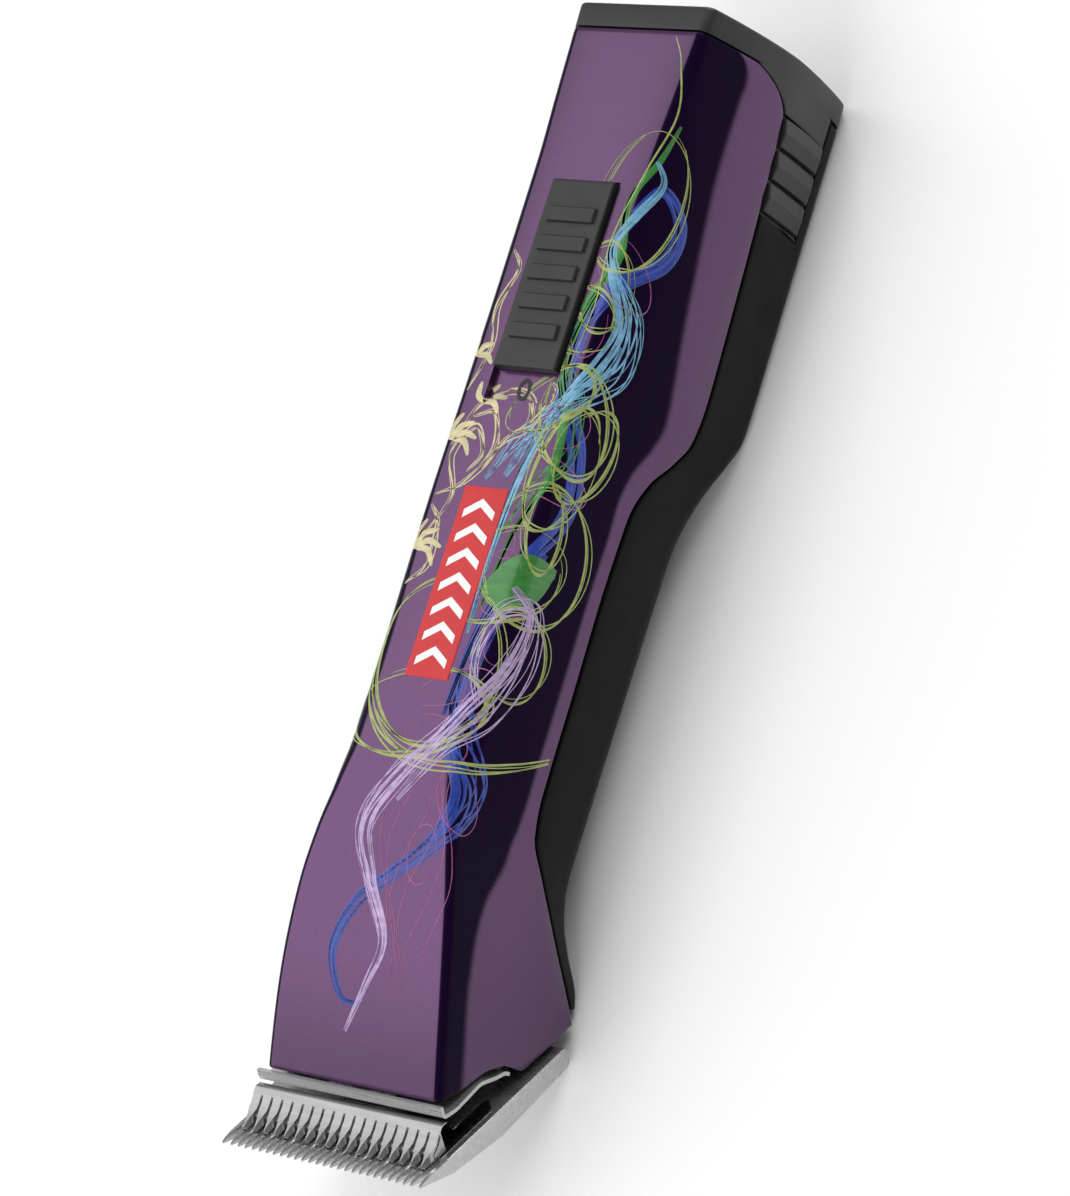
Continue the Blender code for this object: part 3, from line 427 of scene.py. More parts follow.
def recess_share(x, y, blur):
    """1 inside the switch's recess and 0 outside it."""
    wide = window(x, -RECESS_HALF_WIDTH - blur / 2, RECESS_HALF_WIDTH + blur / 2, blur)
    return wide * window(y, RECESS_START - blur / 2, RECESS_END + blur / 2, blur)


def edge_roll(length, reach, depth):
    """How far an edge turns in: a quarter circle over its reach, full at the edge itself."""
    t = np.clip(1 - length / reach, 0.0, 1.0)
    return depth * (1 - np.sqrt(1 - t ** 2))


# ---------------------------------------------------------------- finishes

class Look:
    """A procedural finish under construction: a node tree with its shader and coordinates."""

    def __init__(self, name, colour, roughness, metallic=0.0):
        self.material = bpy.data.materials.new(name)
        self.material.use_nodes = True
        self.tree = self.material.node_tree
        self.shader = self.tree.nodes["Principled BSDF"]
        self.shader.inputs["Base Color"].default_value = (*colour, 1.0)
        self.shader.inputs["Roughness"].default_value = roughness
        self.shader.inputs["Metallic"].default_value = metallic
        self.colour = colour
        self.roughness = roughness
        self.place = self.tree.nodes.new("ShaderNodeTexCoord")
        self.bump_before = None

    def stretched(self, scale, turn=(0.0, 0.0, 0.0)):
        """Object coordinates in metres times scale, turned first."""
        turned = self.tree.nodes.new("ShaderNodeMapping")
        turned.vector_type = "POINT"
        turned.inputs["Rotation"].default_value = turn
        self.tree.links.new(self.place.outputs["Object"], turned.inputs["Vector"])
        scaled = self.tree.nodes.new("ShaderNodeVectorMath")
        scaled.operation = "MULTIPLY"
        scaled.inputs[1].default_value = scale
        self.tree.links.new(turned.outputs["Vector"], scaled.inputs[0])
        return scaled.outputs["Vector"]

    def noise(self, scale, detail=2.0, turn=(0.0, 0.0, 0.0)):
        """Noise whose cells are one over scale long, in metres."""
        node = self.tree.nodes.new("ShaderNodeTexNoise")
        node.inputs["Scale"].default_value = 1.0
        node.inputs["Detail"].default_value = detail
        self.tree.links.new(self.stretched(scale, turn), node.inputs["Vector"])
        return node.outputs["Fac"]

    def flakes(self, scale):
        """Random value for each cell of a Voronoi pattern."""
        node = self.tree.nodes.new("ShaderNodeTexVoronoi")
        node.inputs["Scale"].default_value = 1.0
        self.tree.links.new(self.stretched(scale), node.inputs["Vector"])
        return node.outputs["Color"]

    def spread(self, value, low, high, socket):
        """Drive a socket from low to high as a value goes from 0.3 to 0.7."""
        node = self.tree.nodes.new("ShaderNodeMapRange")
        node.inputs["From Min"].default_value = 0.3
        node.inputs["From Max"].default_value = 0.7
        node.inputs["To Min"].default_value = low
        node.inputs["To Max"].default_value = high
        self.tree.links.new(value, node.inputs["Value"])
        self.tree.links.new(node.outputs["Result"], socket)
        return self

    def vary_roughness(self, scale, amount, turn=(0.0, 0.0, 0.0)):
        value = self.noise(scale, 3.0, turn)
        low, high = self.roughness - amount, self.roughness + amount
        return self.spread(value, low, high, self.shader.inputs["Roughness"])

    def vary_colour(self, value, darker, lighter):
        """Mix the base colour between a darker and a lighter share of itself by a value."""
        ramp = self.tree.nodes.new("ShaderNodeValToRGB")
        low, high = ramp.color_ramp.elements
        low.position = 0.3
        high.position = 0.7
        low.color = (*(c * darker for c in self.colour), 1.0)
        high.color = (*(min(c * lighter, 1.0) for c in self.colour), 1.0)
        self.tree.links.new(value, ramp.inputs["Fac"])
        self.tree.links.new(ramp.outputs["Color"], self.shader.inputs["Base Color"])
        return self

    def grain(self, value, depth, strength=1.0):
        """Bump from a value, depth in millimetres."""
        bump = self.tree.nodes.new("ShaderNodeBump")
        bump.inputs["Distance"].default_value = depth * MM
        bump.inputs["Strength"].default_value = strength
        self.tree.links.new(value, bump.inputs["Height"])
        if self.bump_before is not None:
            self.tree.links.new(self.bump_before, bump.inputs["Normal"])
        self.bump_before = bump.outputs["Normal"]
        self.tree.links.new(self.bump_before, self.shader.inputs["Normal"])
        return self

    def paint_shade_and_dark_reflection(self, dark):
        """Painted shade and painted dark reflection: mix towards a dark colour where the mesh's shade is 1, with a
        weaker coat, specular and metal there.
        """
        shade = self.tree.nodes.new("ShaderNodeAttribute")
        shade.attribute_name = "shade"
        mix = self.tree.nodes.new("ShaderNodeMix")
        mix.data_type = "RGBA"
        base = self.shader.inputs["Base Color"]
        self.tree.links.new(shade.outputs["Fac"], mix.inputs["Factor"])
        self.tree.links.new(base.links[0].from_socket, mix.inputs[6])
        mix.inputs[7].default_value = (*dark, 1.0)
        self.tree.links.new(mix.outputs[2], base)
        for socket, full in (("Coat Weight", 0.9), ("Specular IOR Level", 0.5), ("Metallic", 0.85)):
            weaker = self.tree.nodes.new("ShaderNodeMapRange")
            weaker.inputs["To Min"].default_value = full
            weaker.inputs["To Max"].default_value = 0.04
            self.tree.links.new(shade.outputs["Fac"], weaker.inputs["Value"])
            self.tree.links.new(weaker.outputs["Result"], self.shader.inputs[socket])
        return self

    def coat(self, weight, roughness):
        self.shader.inputs["Coat Weight"].default_value = weight
        self.shader.inputs["Coat Roughness"].default_value = roughness
        return self


def lacquer_look():
    """Violet metallic lacquer under a clear coat, with painted shade and a painted dark reflection taking it to near
    black along the mesh's shade.
    """
    look = Look("violet_lacquer", tuple(colours().lacquer), 0.30, 0.85)
    look.vary_colour(look.flakes((9000.0, 9000.0, 9000.0)), 0.9, 1.1)
    look.vary_roughness((60.0, 60.0, 60.0), 0.02)
    look.grain(look.noise((5200.0, 5200.0, 5200.0), 1.0), 0.003, 0.4)
    look.coat(1.0, 0.03)
    look.shader.inputs["Coat IOR"].default_value = 1.4
    # Near-black violet of the painted shade and painted dark reflection.
    look.paint_shade_and_dark_reflection((0.0070, 0.0012, 0.0170))
    return look.material


def casing_look(name, share, gloss):
    """Moulded black plastic with a fine spark-eroded grain: a share of the casing colour, so the rear shell and the
    battery cap are darker and lighter copies of one plastic, painted shade and painted light.
    """
    look = Look(name, tuple(share * c for c in colours().casing), 0.44)
    look.vary_colour(look.noise((900.0, 900.0, 900.0), 3.0), 0.88, 1.14)
    look.vary_roughness((140.0, 140.0, 140.0), 0.05)
    look.grain(look.noise((7000.0, 7000.0, 7000.0), 2.0), 0.02, 0.55)
    look.shader.inputs["Specular IOR Level"].default_value = gloss
    return look.material


def switch_look():
    """Dark grey satin plastic of the parts that fingers touch."""
    look = Look("grey_switch", tuple(colours().switch), 0.40)
    look.vary_colour(look.noise((1200.0, 1200.0, 1200.0), 3.0), 0.9, 1.12)
    look.vary_roughness((220.0, 220.0, 220.0), 0.05)
    look.grain(look.noise((8000.0, 8000.0, 8000.0), 2.0), 0.012, 0.5)
    return look.material


def ground_steel_look(name, roughness, line_scale, share=1.0, metallic=1.0):
    """Steel ground with fine parallel scratches across the blade: a share of the steel colour."""
    turn = (-BLADE_ANGLE, 0.0, 0.0)
    look = Look(name, tuple(share * c for c in colours().steel), roughness, metallic)
    look.vary_colour(look.noise((90.0, 900.0, 900.0), 3.0, turn), 0.9, 1.08)
    look.vary_roughness((120.0, line_scale, line_scale), 0.04, turn)
    look.grain(look.noise((60.0, line_scale, line_scale), 2.0, turn), 0.0015, 0.35)
    return look.material


def dark_steel_look():
    """Zinc-plated dark steel of fasteners, brackets and the motor can."""
    look = Look("dark_zinc_steel", (0.20, 0.20, 0.21), 0.38, 1.0)
    look.vary_colour(look.noise((700.0, 700.0, 700.0), 4.0), 0.8, 1.2)
    look.vary_roughness((300.0, 300.0, 300.0), 0.1)
    look.grain(look.noise((3000.0, 3000.0, 3000.0), 2.0), 0.008, 0.5)
    return look.material


def brass_look():
    look = Look("spring_brass", (0.74, 0.54, 0.24), 0.28, 1.0)
    look.vary_colour(look.noise((800.0, 800.0, 800.0), 4.0), 0.8, 1.08)
    look.vary_roughness((900.0, 900.0, 900.0), 0.1)
    return look.material


def nylon_look():
    look = Look("natural_nylon", (0.74, 0.73, 0.68), 0.42)
    look.vary_colour(look.noise((500.0, 500.0, 500.0), 3.0), 0.93, 1.03)
    look.grain(look.noise((4000.0, 4000.0, 4000.0), 2.0), 0.01, 0.4)
    look.shader.inputs["Subsurface Weight"].default_value = 0.1
    look.shader.inputs["Subsurface Scale"].default_value = 0.001
    return look.material


def board_look():
    look = Look("solder_mask_green", (0.02, 0.16, 0.06), 0.32)
    look.vary_colour(look.noise((1500.0, 1500.0, 1500.0), 4.0), 0.6, 1.5)
    look.grain(look.noise((2500.0, 2500.0, 2500.0), 2.0), 0.02, 0.5)
    return look.coat(0.4, 0.2).material


def cell_look():
    look = Look("cell_shrink_film", (0.03, 0.16, 0.36), 0.25)
    look.vary_colour(look.noise((200.0, 40.0, 200.0), 3.0), 0.9, 1.1)
    look.grain(look.noise((500.0, 60.0, 500.0), 2.0), 0.03, 0.3)
    return look.coat(0.5, 0.1).material


def print_look(name, colour):
    """Printing ink under the same clear coat as the lacquer, slightly uneven."""
    look = Look(name, colour, 0.36, 0.1)
    look.vary_colour(look.noise((260.0, 900.0, 260.0), 3.0), 0.72, 1.12)
    look.vary_roughness((300.0, 300.0, 300.0), 0.04)
    return look.coat(0.6, 0.035).material


# ---------------------------------------------------------------- housing pieces

# Where the painted dark reflection on each side ends: (place along Y, share of the side from the crease to the seam)
# pairs.
PAINTED_REFLECTION_END = ((-98, 0.20), (-90, 0.21), (-82, 0.22), (-73, 0.27), (-65, 0.38), (-55.5, 0.66), (-47, 0.82),
            (-38, 0.87), (10, 0.87), (25, 0.80), (35, 0.74), (45, 0.68), (60, 0.62), (90, 0.55), (100, 0.56),
            (104, 0.60), (109, 0.70))
# How far the painted dark reflection eases off past its end.
PAINTED_REFLECTION_BLUR = 0.05


def painted_shade_of_front():
    """How much painted shade the lacquer has at each point of the front skin.

    A painted dark reflection from the crease's face side to the band end's share of each side,
    easing off past it into a weaker painted shade on the rest of the side that grows towards the blade,
    and a trace of painted shade on the face near the creases and towards the blade."""
    count = (FRONT_SKIN.shape[1] + 1) // 2
    half = FRONT_SKIN[:, :count]
    step = np.linalg.norm(np.diff(half, axis=1), axis=2)
    run = np.concatenate((np.zeros((len(half), 1)), np.cumsum(step, 1)), 1)
    crease = SIDE_COLUMNS + ARC_COLUMNS - 3
    share = (run[:, crease:crease + 1] - run) / run[:, crease:crease + 1]
    end = smooth_value(PAINTED_REFLECTION_END, FRONT_STATIONS)[:, None]
    side = 1 - ease(share, end - PAINTED_REFLECTION_BLUR, end + PAINTED_REFLECTION_BLUR / 2)
    # Weaker painted shade on the rest of the side, deeper towards the blade.
    painted_side_shade = 0.20 + 0.16 * ease(-FRONT_STATIONS, 60.0, 98.0)[:, None]
    inward = np.clip(run - run[:, crease:crease + 1], 0.0, None)
    # Painted shade on the face near the creases, and on the head towards the blade.
    face = np.exp(-inward / 3.5) * 0.35 * ease(FRONT_STATIONS, -60.0, 60.0)[:, None]
    head = 0.36 * ease(-FRONT_STATIONS, 74.0, 98.0)[:, None]
    near = np.where(share > 0, np.maximum(side, painted_side_shade), np.maximum(1 - ease(inward, 0.0, 0.35), face + head))
    return np.concatenate((near, near[:, -2::-1]), 1)


class BuildFrontShell(bpy.types.Operator):
    """Lacquered front shell: fine skin, rolled edges, switch recess with its slot"""
    bl_idname = "clipper.front_shell"
    bl_label = "Front shell"

    def execute(self, context):
        size = sizes()
        roll = size.rolled_edge / MM
        depth = size.recess_depth / MM
        skin, normals = FRONT_SKIN, FRONT_NORMALS
        x, y = skin[..., 0], skin[..., 1]
        step = np.linalg.norm(np.diff(skin, axis=1), axis=2)
        run = np.concatenate((np.zeros((len(skin), 1)), np.cumsum(step, 1)), 1)
        to_seam = np.minimum(run, run[:, -1:] - run)
        step = np.linalg.norm(np.diff(skin, axis=0), axis=2)
        run = np.concatenate((np.zeros((1, skin.shape[1])), np.cumsum(step, 0)), 0)
        to_end = np.minimum(run, run[-1:] - run)
        turned_in = np.maximum(edge_roll(to_seam, 0.5, roll), edge_roll(to_end, 0.5, roll))
        level = (FRONT_STATIONS > RECESS_START - 2)[:, None] & (np.abs(x) < RECESS_HALF_WIDTH + 1)
        dent = np.where(level, recess_share(x, y, 0.18), 0.0) * depth
        outer = skin - normals * (turned_in + dent)[..., None]
        deep = np.where(level, recess_share(x, y, 2.5), 0.0)
        inner = skin - normals * (size.wall / MM + deep)[..., None]
        middle_x = (x[:-1, :-1] + x[1:, 1:]) / 2
        middle_y = (y[:-1, :-1] + y[1:, 1:]) / 2
        slot = (np.abs(middle_x) < SLOT_HALF_WIDTH) & (middle_y > SLOT_START) & (middle_y < SLOT_END)
        # The front skin carries its painted shade and painted dark reflection for the lacquer to read.
        mesh = walled_mesh("front_shell_fine", outer, inner, ~slot, 50.0, painted_shade_of_front())
        add_piece("front_shell_fine", mesh, lacquer_look(), "housing", "purple_lacquer", "front_shell")
        return {"FINISHED"}


def rear_half(stations, z_top, side_count, arc, across_count):
    """Half of the rear shell as a grid: down the side, round the back's corner, to the middle."""
    y = stations[:, None]
    z_top = z_top[:, None]
    bottom = smooth_value(BACK_HEIGHT, y)
    seam = smooth_value(SEAM_HEIGHT, y) - 0.35
    radius = np.minimum(smooth_value(BACK_RADIUS, y), 0.6 * (seam - bottom))
    half_back = smooth_value(BACK_HALF_WIDTH, y)
    turn = bottom + radius
    share = np.concatenate(((0.0, 0.008, 0.018), np.linspace(0.035, 0.96, side_count)))[None, :]
    z_side = z_top + (turn - z_top) * share
    y_side = np.broadcast_to(y, z_side.shape)
    side = np.stack((side_x(y_side, z_side), y_side, z_side), -1)
    start = np.stack((side_x(y, turn), y, turn), -1)
    corner = np.stack((half_back, y, bottom), -1)
    end = np.stack((half_back - radius, y, bottom), -1)
    round_part = parabola(start, corner, end, arc[None, :, None])
    x_flat = (half_back - radius) * np.linspace(0.92, 0.0, across_count)[None, :]
    flat = np.stack((x_flat, np.broadcast_to(y, x_flat.shape), np.broadcast_to(bottom, x_flat.shape)), -1)
    return np.concatenate((side, round_part, flat), 1)


def rear_stations():
    """Stations from the heel to the notch's edge, where the side drops, and on to the end."""
    heel = float(seam_place(np.array(-93.0)))
    before = np.concatenate(((heel, heel + 0.12, heel + 0.28), np.linspace(heel + 0.6, PAD_START - 0.3, 190)))
    after = np.concatenate((np.linspace(PAD_START - 0.28, REAR_END - 0.3, 40), (REAR_END - 0.1, REAR_END)))
    return before, after


def well_tool(radius, length):
    """Cutter for the screw wells: a closed ring of points carried down, one for each screw."""
    angle = np.linspace(0.0, math.tau, 48, endpoint=False)
    points, faces = [], []
    for x, y in SCREW_PLACES:
        first = sum(len(p) for p in points)
        for z in (2.0, 2.0 + length):
            circle = np.stack((x + radius * np.cos(angle), y + radius * np.sin(angle),
                               np.full_like(angle, z)), -1)
            points.append(circle)
        ring = np.arange(48)
        after = (ring + 1) % 48
        sides = np.stack((ring, after, after + 48, ring + 48), 1) + first
        faces += sides.tolist() + [(ring[::-1] + first).tolist(), (ring + 48 + first).tolist()]
    return bpy.data.objects.new("well_tool", make_mesh("well_tool", np.concatenate(points), faces))


class BuildRearShell(bpy.types.Operator):
    """Moulded rear shell with the notch for the battery pack and four screw wells"""
    bl_idname = "clipper.rear_shell"
    bl_label = "Rear shell"

    def execute(self, context):
        size = sizes()
        roll = size.rolled_edge / MM
        before, after = rear_stations()
        stations = np.concatenate((before, after))
        z_top = smooth_value(SEAM_HEIGHT, stations) - 0.35
        z_top[len(before):] = PAD_LOW - 0.3
        skin = mirrored(rear_half(stations, z_top, 26, np.linspace(0.0, 1.0, 10), 12))
        smooth_top = smooth_value(SEAM_HEIGHT, stations) - 0.35
        normals = surface_normals(skin)
        if normals[len(normals) // 2, skin.shape[1] // 2, 2] > 0:
            normals = -normals
        step = np.linalg.norm(np.diff(skin, axis=1), axis=2)
        run = np.concatenate((np.zeros((len(skin), 1)), np.cumsum(step, 1)), 1)
        to_seam = np.minimum(run, run[:, -1:] - run)
        to_end = np.minimum(stations - stations[0], stations[-1] - stations)[:, None]
        turned_in = np.maximum(edge_roll(to_seam, 0.5, roll), edge_roll(to_end, 0.5, roll))
        outer = skin - normals * turned_in[..., None]
        inner = skin - normals * (size.wall / MM)
        mesh = walled_mesh("rear_shell_fine", outer, inner, sharp_angle=45.0)
        piece = bpy.data.objects.new("rear_shell_raw", mesh)
        tool = well_tool(2.6, 8.0)
        for obj in (piece, tool):
            bpy.context.scene.collection.objects.link(obj)
        wells = piece.modifiers.new("wells", "BOOLEAN")
        wells.object = tool
        wells.solver = "EXACT"
        bpy.context.view_layer.update()
        drilled = bpy.data.meshes.new_from_object(
            piece.evaluated_get(bpy.context.evaluated_depsgraph_get()))
        for obj in (piece, tool):
            bpy.data.objects.remove(obj)
        drilled.shade_smooth()
        drilled.set_sharp_from_angle(angle=math.radians(45.0))
        # Darker, less glossy copy of the casing plastic: painted shade on the rear shell.
        add_piece("rear_shell_fine", drilled, casing_look("black_casing_painted_shade", 0.43, 0.1), "housing", "black_plastic", "rear_shell")
        return {"FINISHED"}


# ---------------------------------------------------------------- battery pack

def whole_section(y, inset, count):
    """Closed section of the housing at places along Y, drawn in by an inset all round."""
    y = np.asarray(y, float)[:, None]
    seam = smooth_value(WIDEST_HEIGHT, y)
    top = face_height(y)
    bottom = smooth_value(BACK_HEIGHT, y)
    crease = smooth_value(CREASE_RADIUS, y)
    radius = smooth_value(BACK_RADIUS, y)
    half_face = smooth_value(FACE_HALF_WIDTH, y)
    half_back = smooth_value(BACK_HALF_WIDTH, y)
    t = np.linspace(0.0, 1.0, count)[None, :]
    inner_t = t[:, 1:-1]
    z_down = (top - crease) + (bottom + radius - top + crease) * inner_t
    side = np.stack((side_x(np.broadcast_to(y, z_down.shape), z_down), np.broadcast_to(y, z_down.shape), z_down), -1)
    start = np.stack((side_x(y, top - crease), y, top - crease), -1)
    corner = np.stack((half_face, y, top), -1)
    end = np.stack((half_face - crease, y, top), -1)
    arc = np.linspace(0.0, 1.0, 9)[None, :, None]
    upper = parabola(end, corner, start, arc)
    start = np.stack((side_x(y, bottom + radius), y, bottom + radius), -1)
    corner = np.stack((half_back, y, bottom), -1)
    end = np.stack((half_back - radius, y, bottom), -1)
    lower = parabola(start, corner, end, arc)
    middle_top = np.stack((0 * y, y, top), -1)
    middle_bottom = np.stack((0 * y, y, bottom), -1)
    half = np.concatenate((middle_top, upper, side, lower, middle_bottom), 1)
    ring = np.concatenate((half, half[:, -2:0:-1] * np.array((-1.0, 1.0, 1.0))), 1)
    before = np.roll(ring, 1, axis=1)
    after = np.roll(ring, -1, axis=1)
    along = after - before
    normal = np.stack((along[..., 2], 0 * along[..., 0], -along[..., 0]), -1)
    normal /= np.linalg.norm(normal, axis=2, keepdims=True)
    outward = np.sign((normal * (ring - ring.mean(1, keepdims=True))).sum(2).mean())
    return ring - outward * normal * np.asarray(inset, float)[:, None, None]


def side_plate(sign, places, heights, lift, thickness):
    """Outer and inner skins of a plate on the housing's side, lifted from it by lift."""
    y, z = places, heights
    x = side_x(y, z)
    outer = np.stack((sign * (x + lift), y, z), -1)
    inner = np.stack((sign * (x - thickness), y, z), -1)
    return outer, inner


class BuildBatteryPack(bpy.types.Operator):
    """End cap of the battery pack with its cheeks, and the two ridged latch buttons"""
    bl_idname = "clipper.battery_pack"
    bl_label = "Battery pack"

    def execute(self, context):
        # Lighter, glossier copy of the casing plastic: painted light on the cap's upward face.
        look = casing_look("black_cap_painted_light", 1.15, 0.6)
        turn = np.linspace(0.0, math.pi / 2, 6)
        edge = 0.7
        start_y = CAP_START + 0.15 * (1 - np.sin(turn[:3]))
        start_in = 0.15 * (1 - np.cos(turn[:3]))[::-1]
        end_y = CAP_END - edge + edge * np.sin(turn)
        end_in = edge * (1 - np.cos(turn))
        y = np.concatenate((start_y[::-1], (CAP_START + 1.5, 111.6), end_y))
        inset = np.concatenate((start_in, (0.0, 0.0), end_in))
        rings = whole_section(y, inset, 26)
        count = rings.shape[1]
        keep = np.ones((len(y) - 1, count), bool)
        skin_faces = walled_faces(keep, True)[:keep.sum()].tolist()
        last = (len(y) - 1) * count
        ends = [list(range(count)), list(range(last, last + count))]
        slab = make_mesh("battery_cap_slab", rings, skin_faces + ends)
        parts = [slab]
        rows = np.concatenate(((102.7, 102.8, 103.0), np.linspace(103.3, 110.5, 26)))
        share = np.concatenate((np.linspace(0.0, 0.97, 22), (0.985, 1.0)))
        for sign in (-1, 1):
            top = smooth_value(SEAM_HEIGHT, rows) - 0.3
            z = PAD_LOW + (top - PAD_LOW)[:, None] * share[None, :]
            yy = np.broadcast_to(rows[:, None], z.shape)
            gap = np.minimum(np.minimum(yy - rows[0], z - PAD_LOW), z[:, -1:] - z)
            outer, inner = side_plate(sign, yy, z, -0.015 - edge_roll(gap, 0.35, 0.2), 2.4)
            parts.append(walled_mesh("cheek", outer, inner))
        bm = bmesh.new()
        for mesh in parts:
            bm.from_mesh(mesh)
        bm.to_mesh(slab)
        bm.free()
        slab.set_sharp_from_angle(angle=math.radians(40.0))
        add_piece("battery_cap_fine", slab, look, "battery_pack", "black_plastic", "battery_cap")
        for sign, side in ((-1, "left"), (1, "right")):
            self.latch_button(sign, side)
        return {"FINISHED"}

    def latch_button(self, sign, side):
        """Three ridges: each falls from its crest to a groove at the battery end."""
        height = sizes().ridge_height / MM
        rows = np.linspace(PAD_START, PAD_END, 200)
        share = np.concatenate(((0.0, 0.012, 0.03), np.linspace(0.06, 0.94, 16), (0.97, 0.988, 1.0)))
        top = smooth_value(SEAM_HEIGHT, rows) - 0.3
        z = PAD_LOW + (top - PAD_LOW)[:, None] * share[None, :]
        yy = np.broadcast_to(rows[:, None], z.shape)
        phase = (yy - PAD_START - 0.055 * (z[:, -1:] - z)) / (PAD_END - PAD_START) * 3
        phase = np.where(phase < 2.999, phase % 1.0, 0.999)
        ridge = np.interp(phase, (0.0, 0.05, 0.075, 0.50, 0.925, 0.95, 1.0), (-0.62, -0.62, 0.28, 0.74, 0.28, -0.62, -0.62))
        inside = ease(z - PAD_LOW, 0.0, 1.2)
        lift = ridge * height * (0.35 + 0.65 * inside)
        gap = np.minimum(z - PAD_LOW, z[:, -1:] - z)
        lift = lift - edge_roll(gap, 0.4, 0.25)
        outer, inner = side_plate(sign, yy, z, lift, 1.1)
        mesh = walled_mesh("latch_button_fine_" + side, outer, inner, sharp_angle=11.0)
        add_piece("latch_button_fine_" + side, mesh, switch_look(), "latch_" + side, "grey_plastic",
                  "latch_button_" + side)


# ---------------------------------------------------------------- switch

def soft_block(x_places, y_places, height, low, radius, lift=None):
    """Outer and inner skins of a block with rounded top edges.

    Its height is the block's height less the distance past a quarter circle at each edge,
    plus a lift on its top; the inner skin is its flat underside."""
    x0, x1 = x_places[0], x_places[-1]
    y0, y1 = y_places[0], y_places[-1]
    x, y = np.meshgrid(x_places, y_places)
    in_x = np.clip(np.minimum(x - x0, x1 - x) / radius, 0, 1)
    in_y = np.clip(np.minimum(y - y0, y1 - y) / radius, 0, 1)
    drop = radius * (1 - np.sqrt(np.clip(1 - (1 - in_x) ** 2, 0, 1)))
    drop_y = radius * (1 - np.sqrt(np.clip(1 - (1 - in_y) ** 2, 0, 1)))
    z = low + height - np.minimum(np.hypot(drop, drop_y), radius)
    if lift is not None:
        z = z + lift(x, y)
    outer = np.stack((x, y, z), -1)
    inner = np.stack((x, y, np.full_like(x, low)), -1)
    return outer, inner


def rounded_places(low, high, radius, count):
    """Places across a block: close together in both rounded edges and even between them."""
    turn = radius * (1 - np.cos(np.linspace(0.0, math.pi / 2, 6)))
    middle = np.linspace(low + radius, high - radius, count)[1:-1]
    return np.concatenate((low + turn, middle, high - turn[::-1]))


class BuildSlider(bpy.types.Operator):
    """Thumb slider with raised ribs, and the stem under it"""
    bl_idname = "clipper.slider"
    bl_label = "Thumb slider"

    def execute(self, context):
        look = switch_look()
        count = sizes().slider_ribs
        pitch = 5.95
        middle = (SLIDER_START + SLIDER_END) / 2
        centres = middle + pitch * (np.arange(count) - (count - 1) / 2)

        def ribs(x, y):
            """Each rib: steep at the blade end, gentle at the battery end, inset from the sides."""
            rise = np.zeros_like(y)
            for centre in centres:
                rise = rise + ease(y, centre - 1.62, centre - 1.4) * (1 - ease(y, centre + 1.3, centre + 1.75))
            across = window(x, -SLIDER_HALF_WIDTH + 1.75, SLIDER_HALF_WIDTH - 1.75, 0.22)
            return 0.68 * rise * across

        rib_edges = (centres[:, None] + np.array((-1.62, -1.55, -1.47, -1.4, 1.3, 1.42, 1.6, 1.75))[None, :]).ravel()
        base_y = rounded_places(SLIDER_START, SLIDER_END, 0.32, 90)
        y = np.unique(np.round(np.concatenate((base_y, rib_edges)), 3))
        rib_x = (SLIDER_HALF_WIDTH - 1.75) - np.array((0.0, 0.07, 0.15, 0.22))
        x = rounded_places(-SLIDER_HALF_WIDTH, SLIDER_HALF_WIDTH, 0.32, 24)
        x = np.unique(np.round(np.concatenate((x, rib_x, -rib_x)), 3))
        outer, inner = soft_block(x, y, 2.2, SLIDER_BASE, 0.32, ribs)
        parts = [walled_mesh("power_slider_fine", outer, inner, sharp_angle=40.0)]
        stem_x = rounded_places(-2.4, 2.4, 0.2, 5)
        stem_y = rounded_places(50.0, 62.0, 0.2, 8)
        outer, inner = soft_block(stem_x, stem_y, 3.0, 41.2, 0.2)
        parts.append(walled_mesh("stem", outer, inner))
        bm = bmesh.new()
        for mesh in parts:
            bm.from_mesh(mesh)
        bm.to_mesh(parts[0])
        bm.free()
        add_piece("power_slider_fine", parts[0], look, "slider", "grey_plastic", "power_slider")
        return {"FINISHED"}


# ---------------------------------------------------------------- printing on the face

def print_table():
    """Front skin and its normals at even places across, measured from the centre line.

    Returns the places across, the points and the normals, a row for each station."""
    middle = FRONT_SKIN.shape[1] // 2
    step = np.linalg.norm(np.diff(FRONT_SKIN, axis=1), axis=2)
    run = np.concatenate((np.zeros((len(step), 1)), np.cumsum(step, 1)), 1)
    across = run[:, middle:middle + 1] - run
    places = np.linspace(-40.0, 40.0, 641)
    both = np.concatenate((FRONT_SKIN, FRONT_NORMALS), 2)
    rows = [[np.interp(places, line[::-1], values[::-1]) for values in cells.T]
            for line, cells in zip(across, both)]
    table = np.moveaxis(np.array(rows), 1, 2)
    return places, table[..., :3], table[..., 3:]


PRINT_PLACES, PRINT_POINTS, PRINT_NORMALS = print_table()


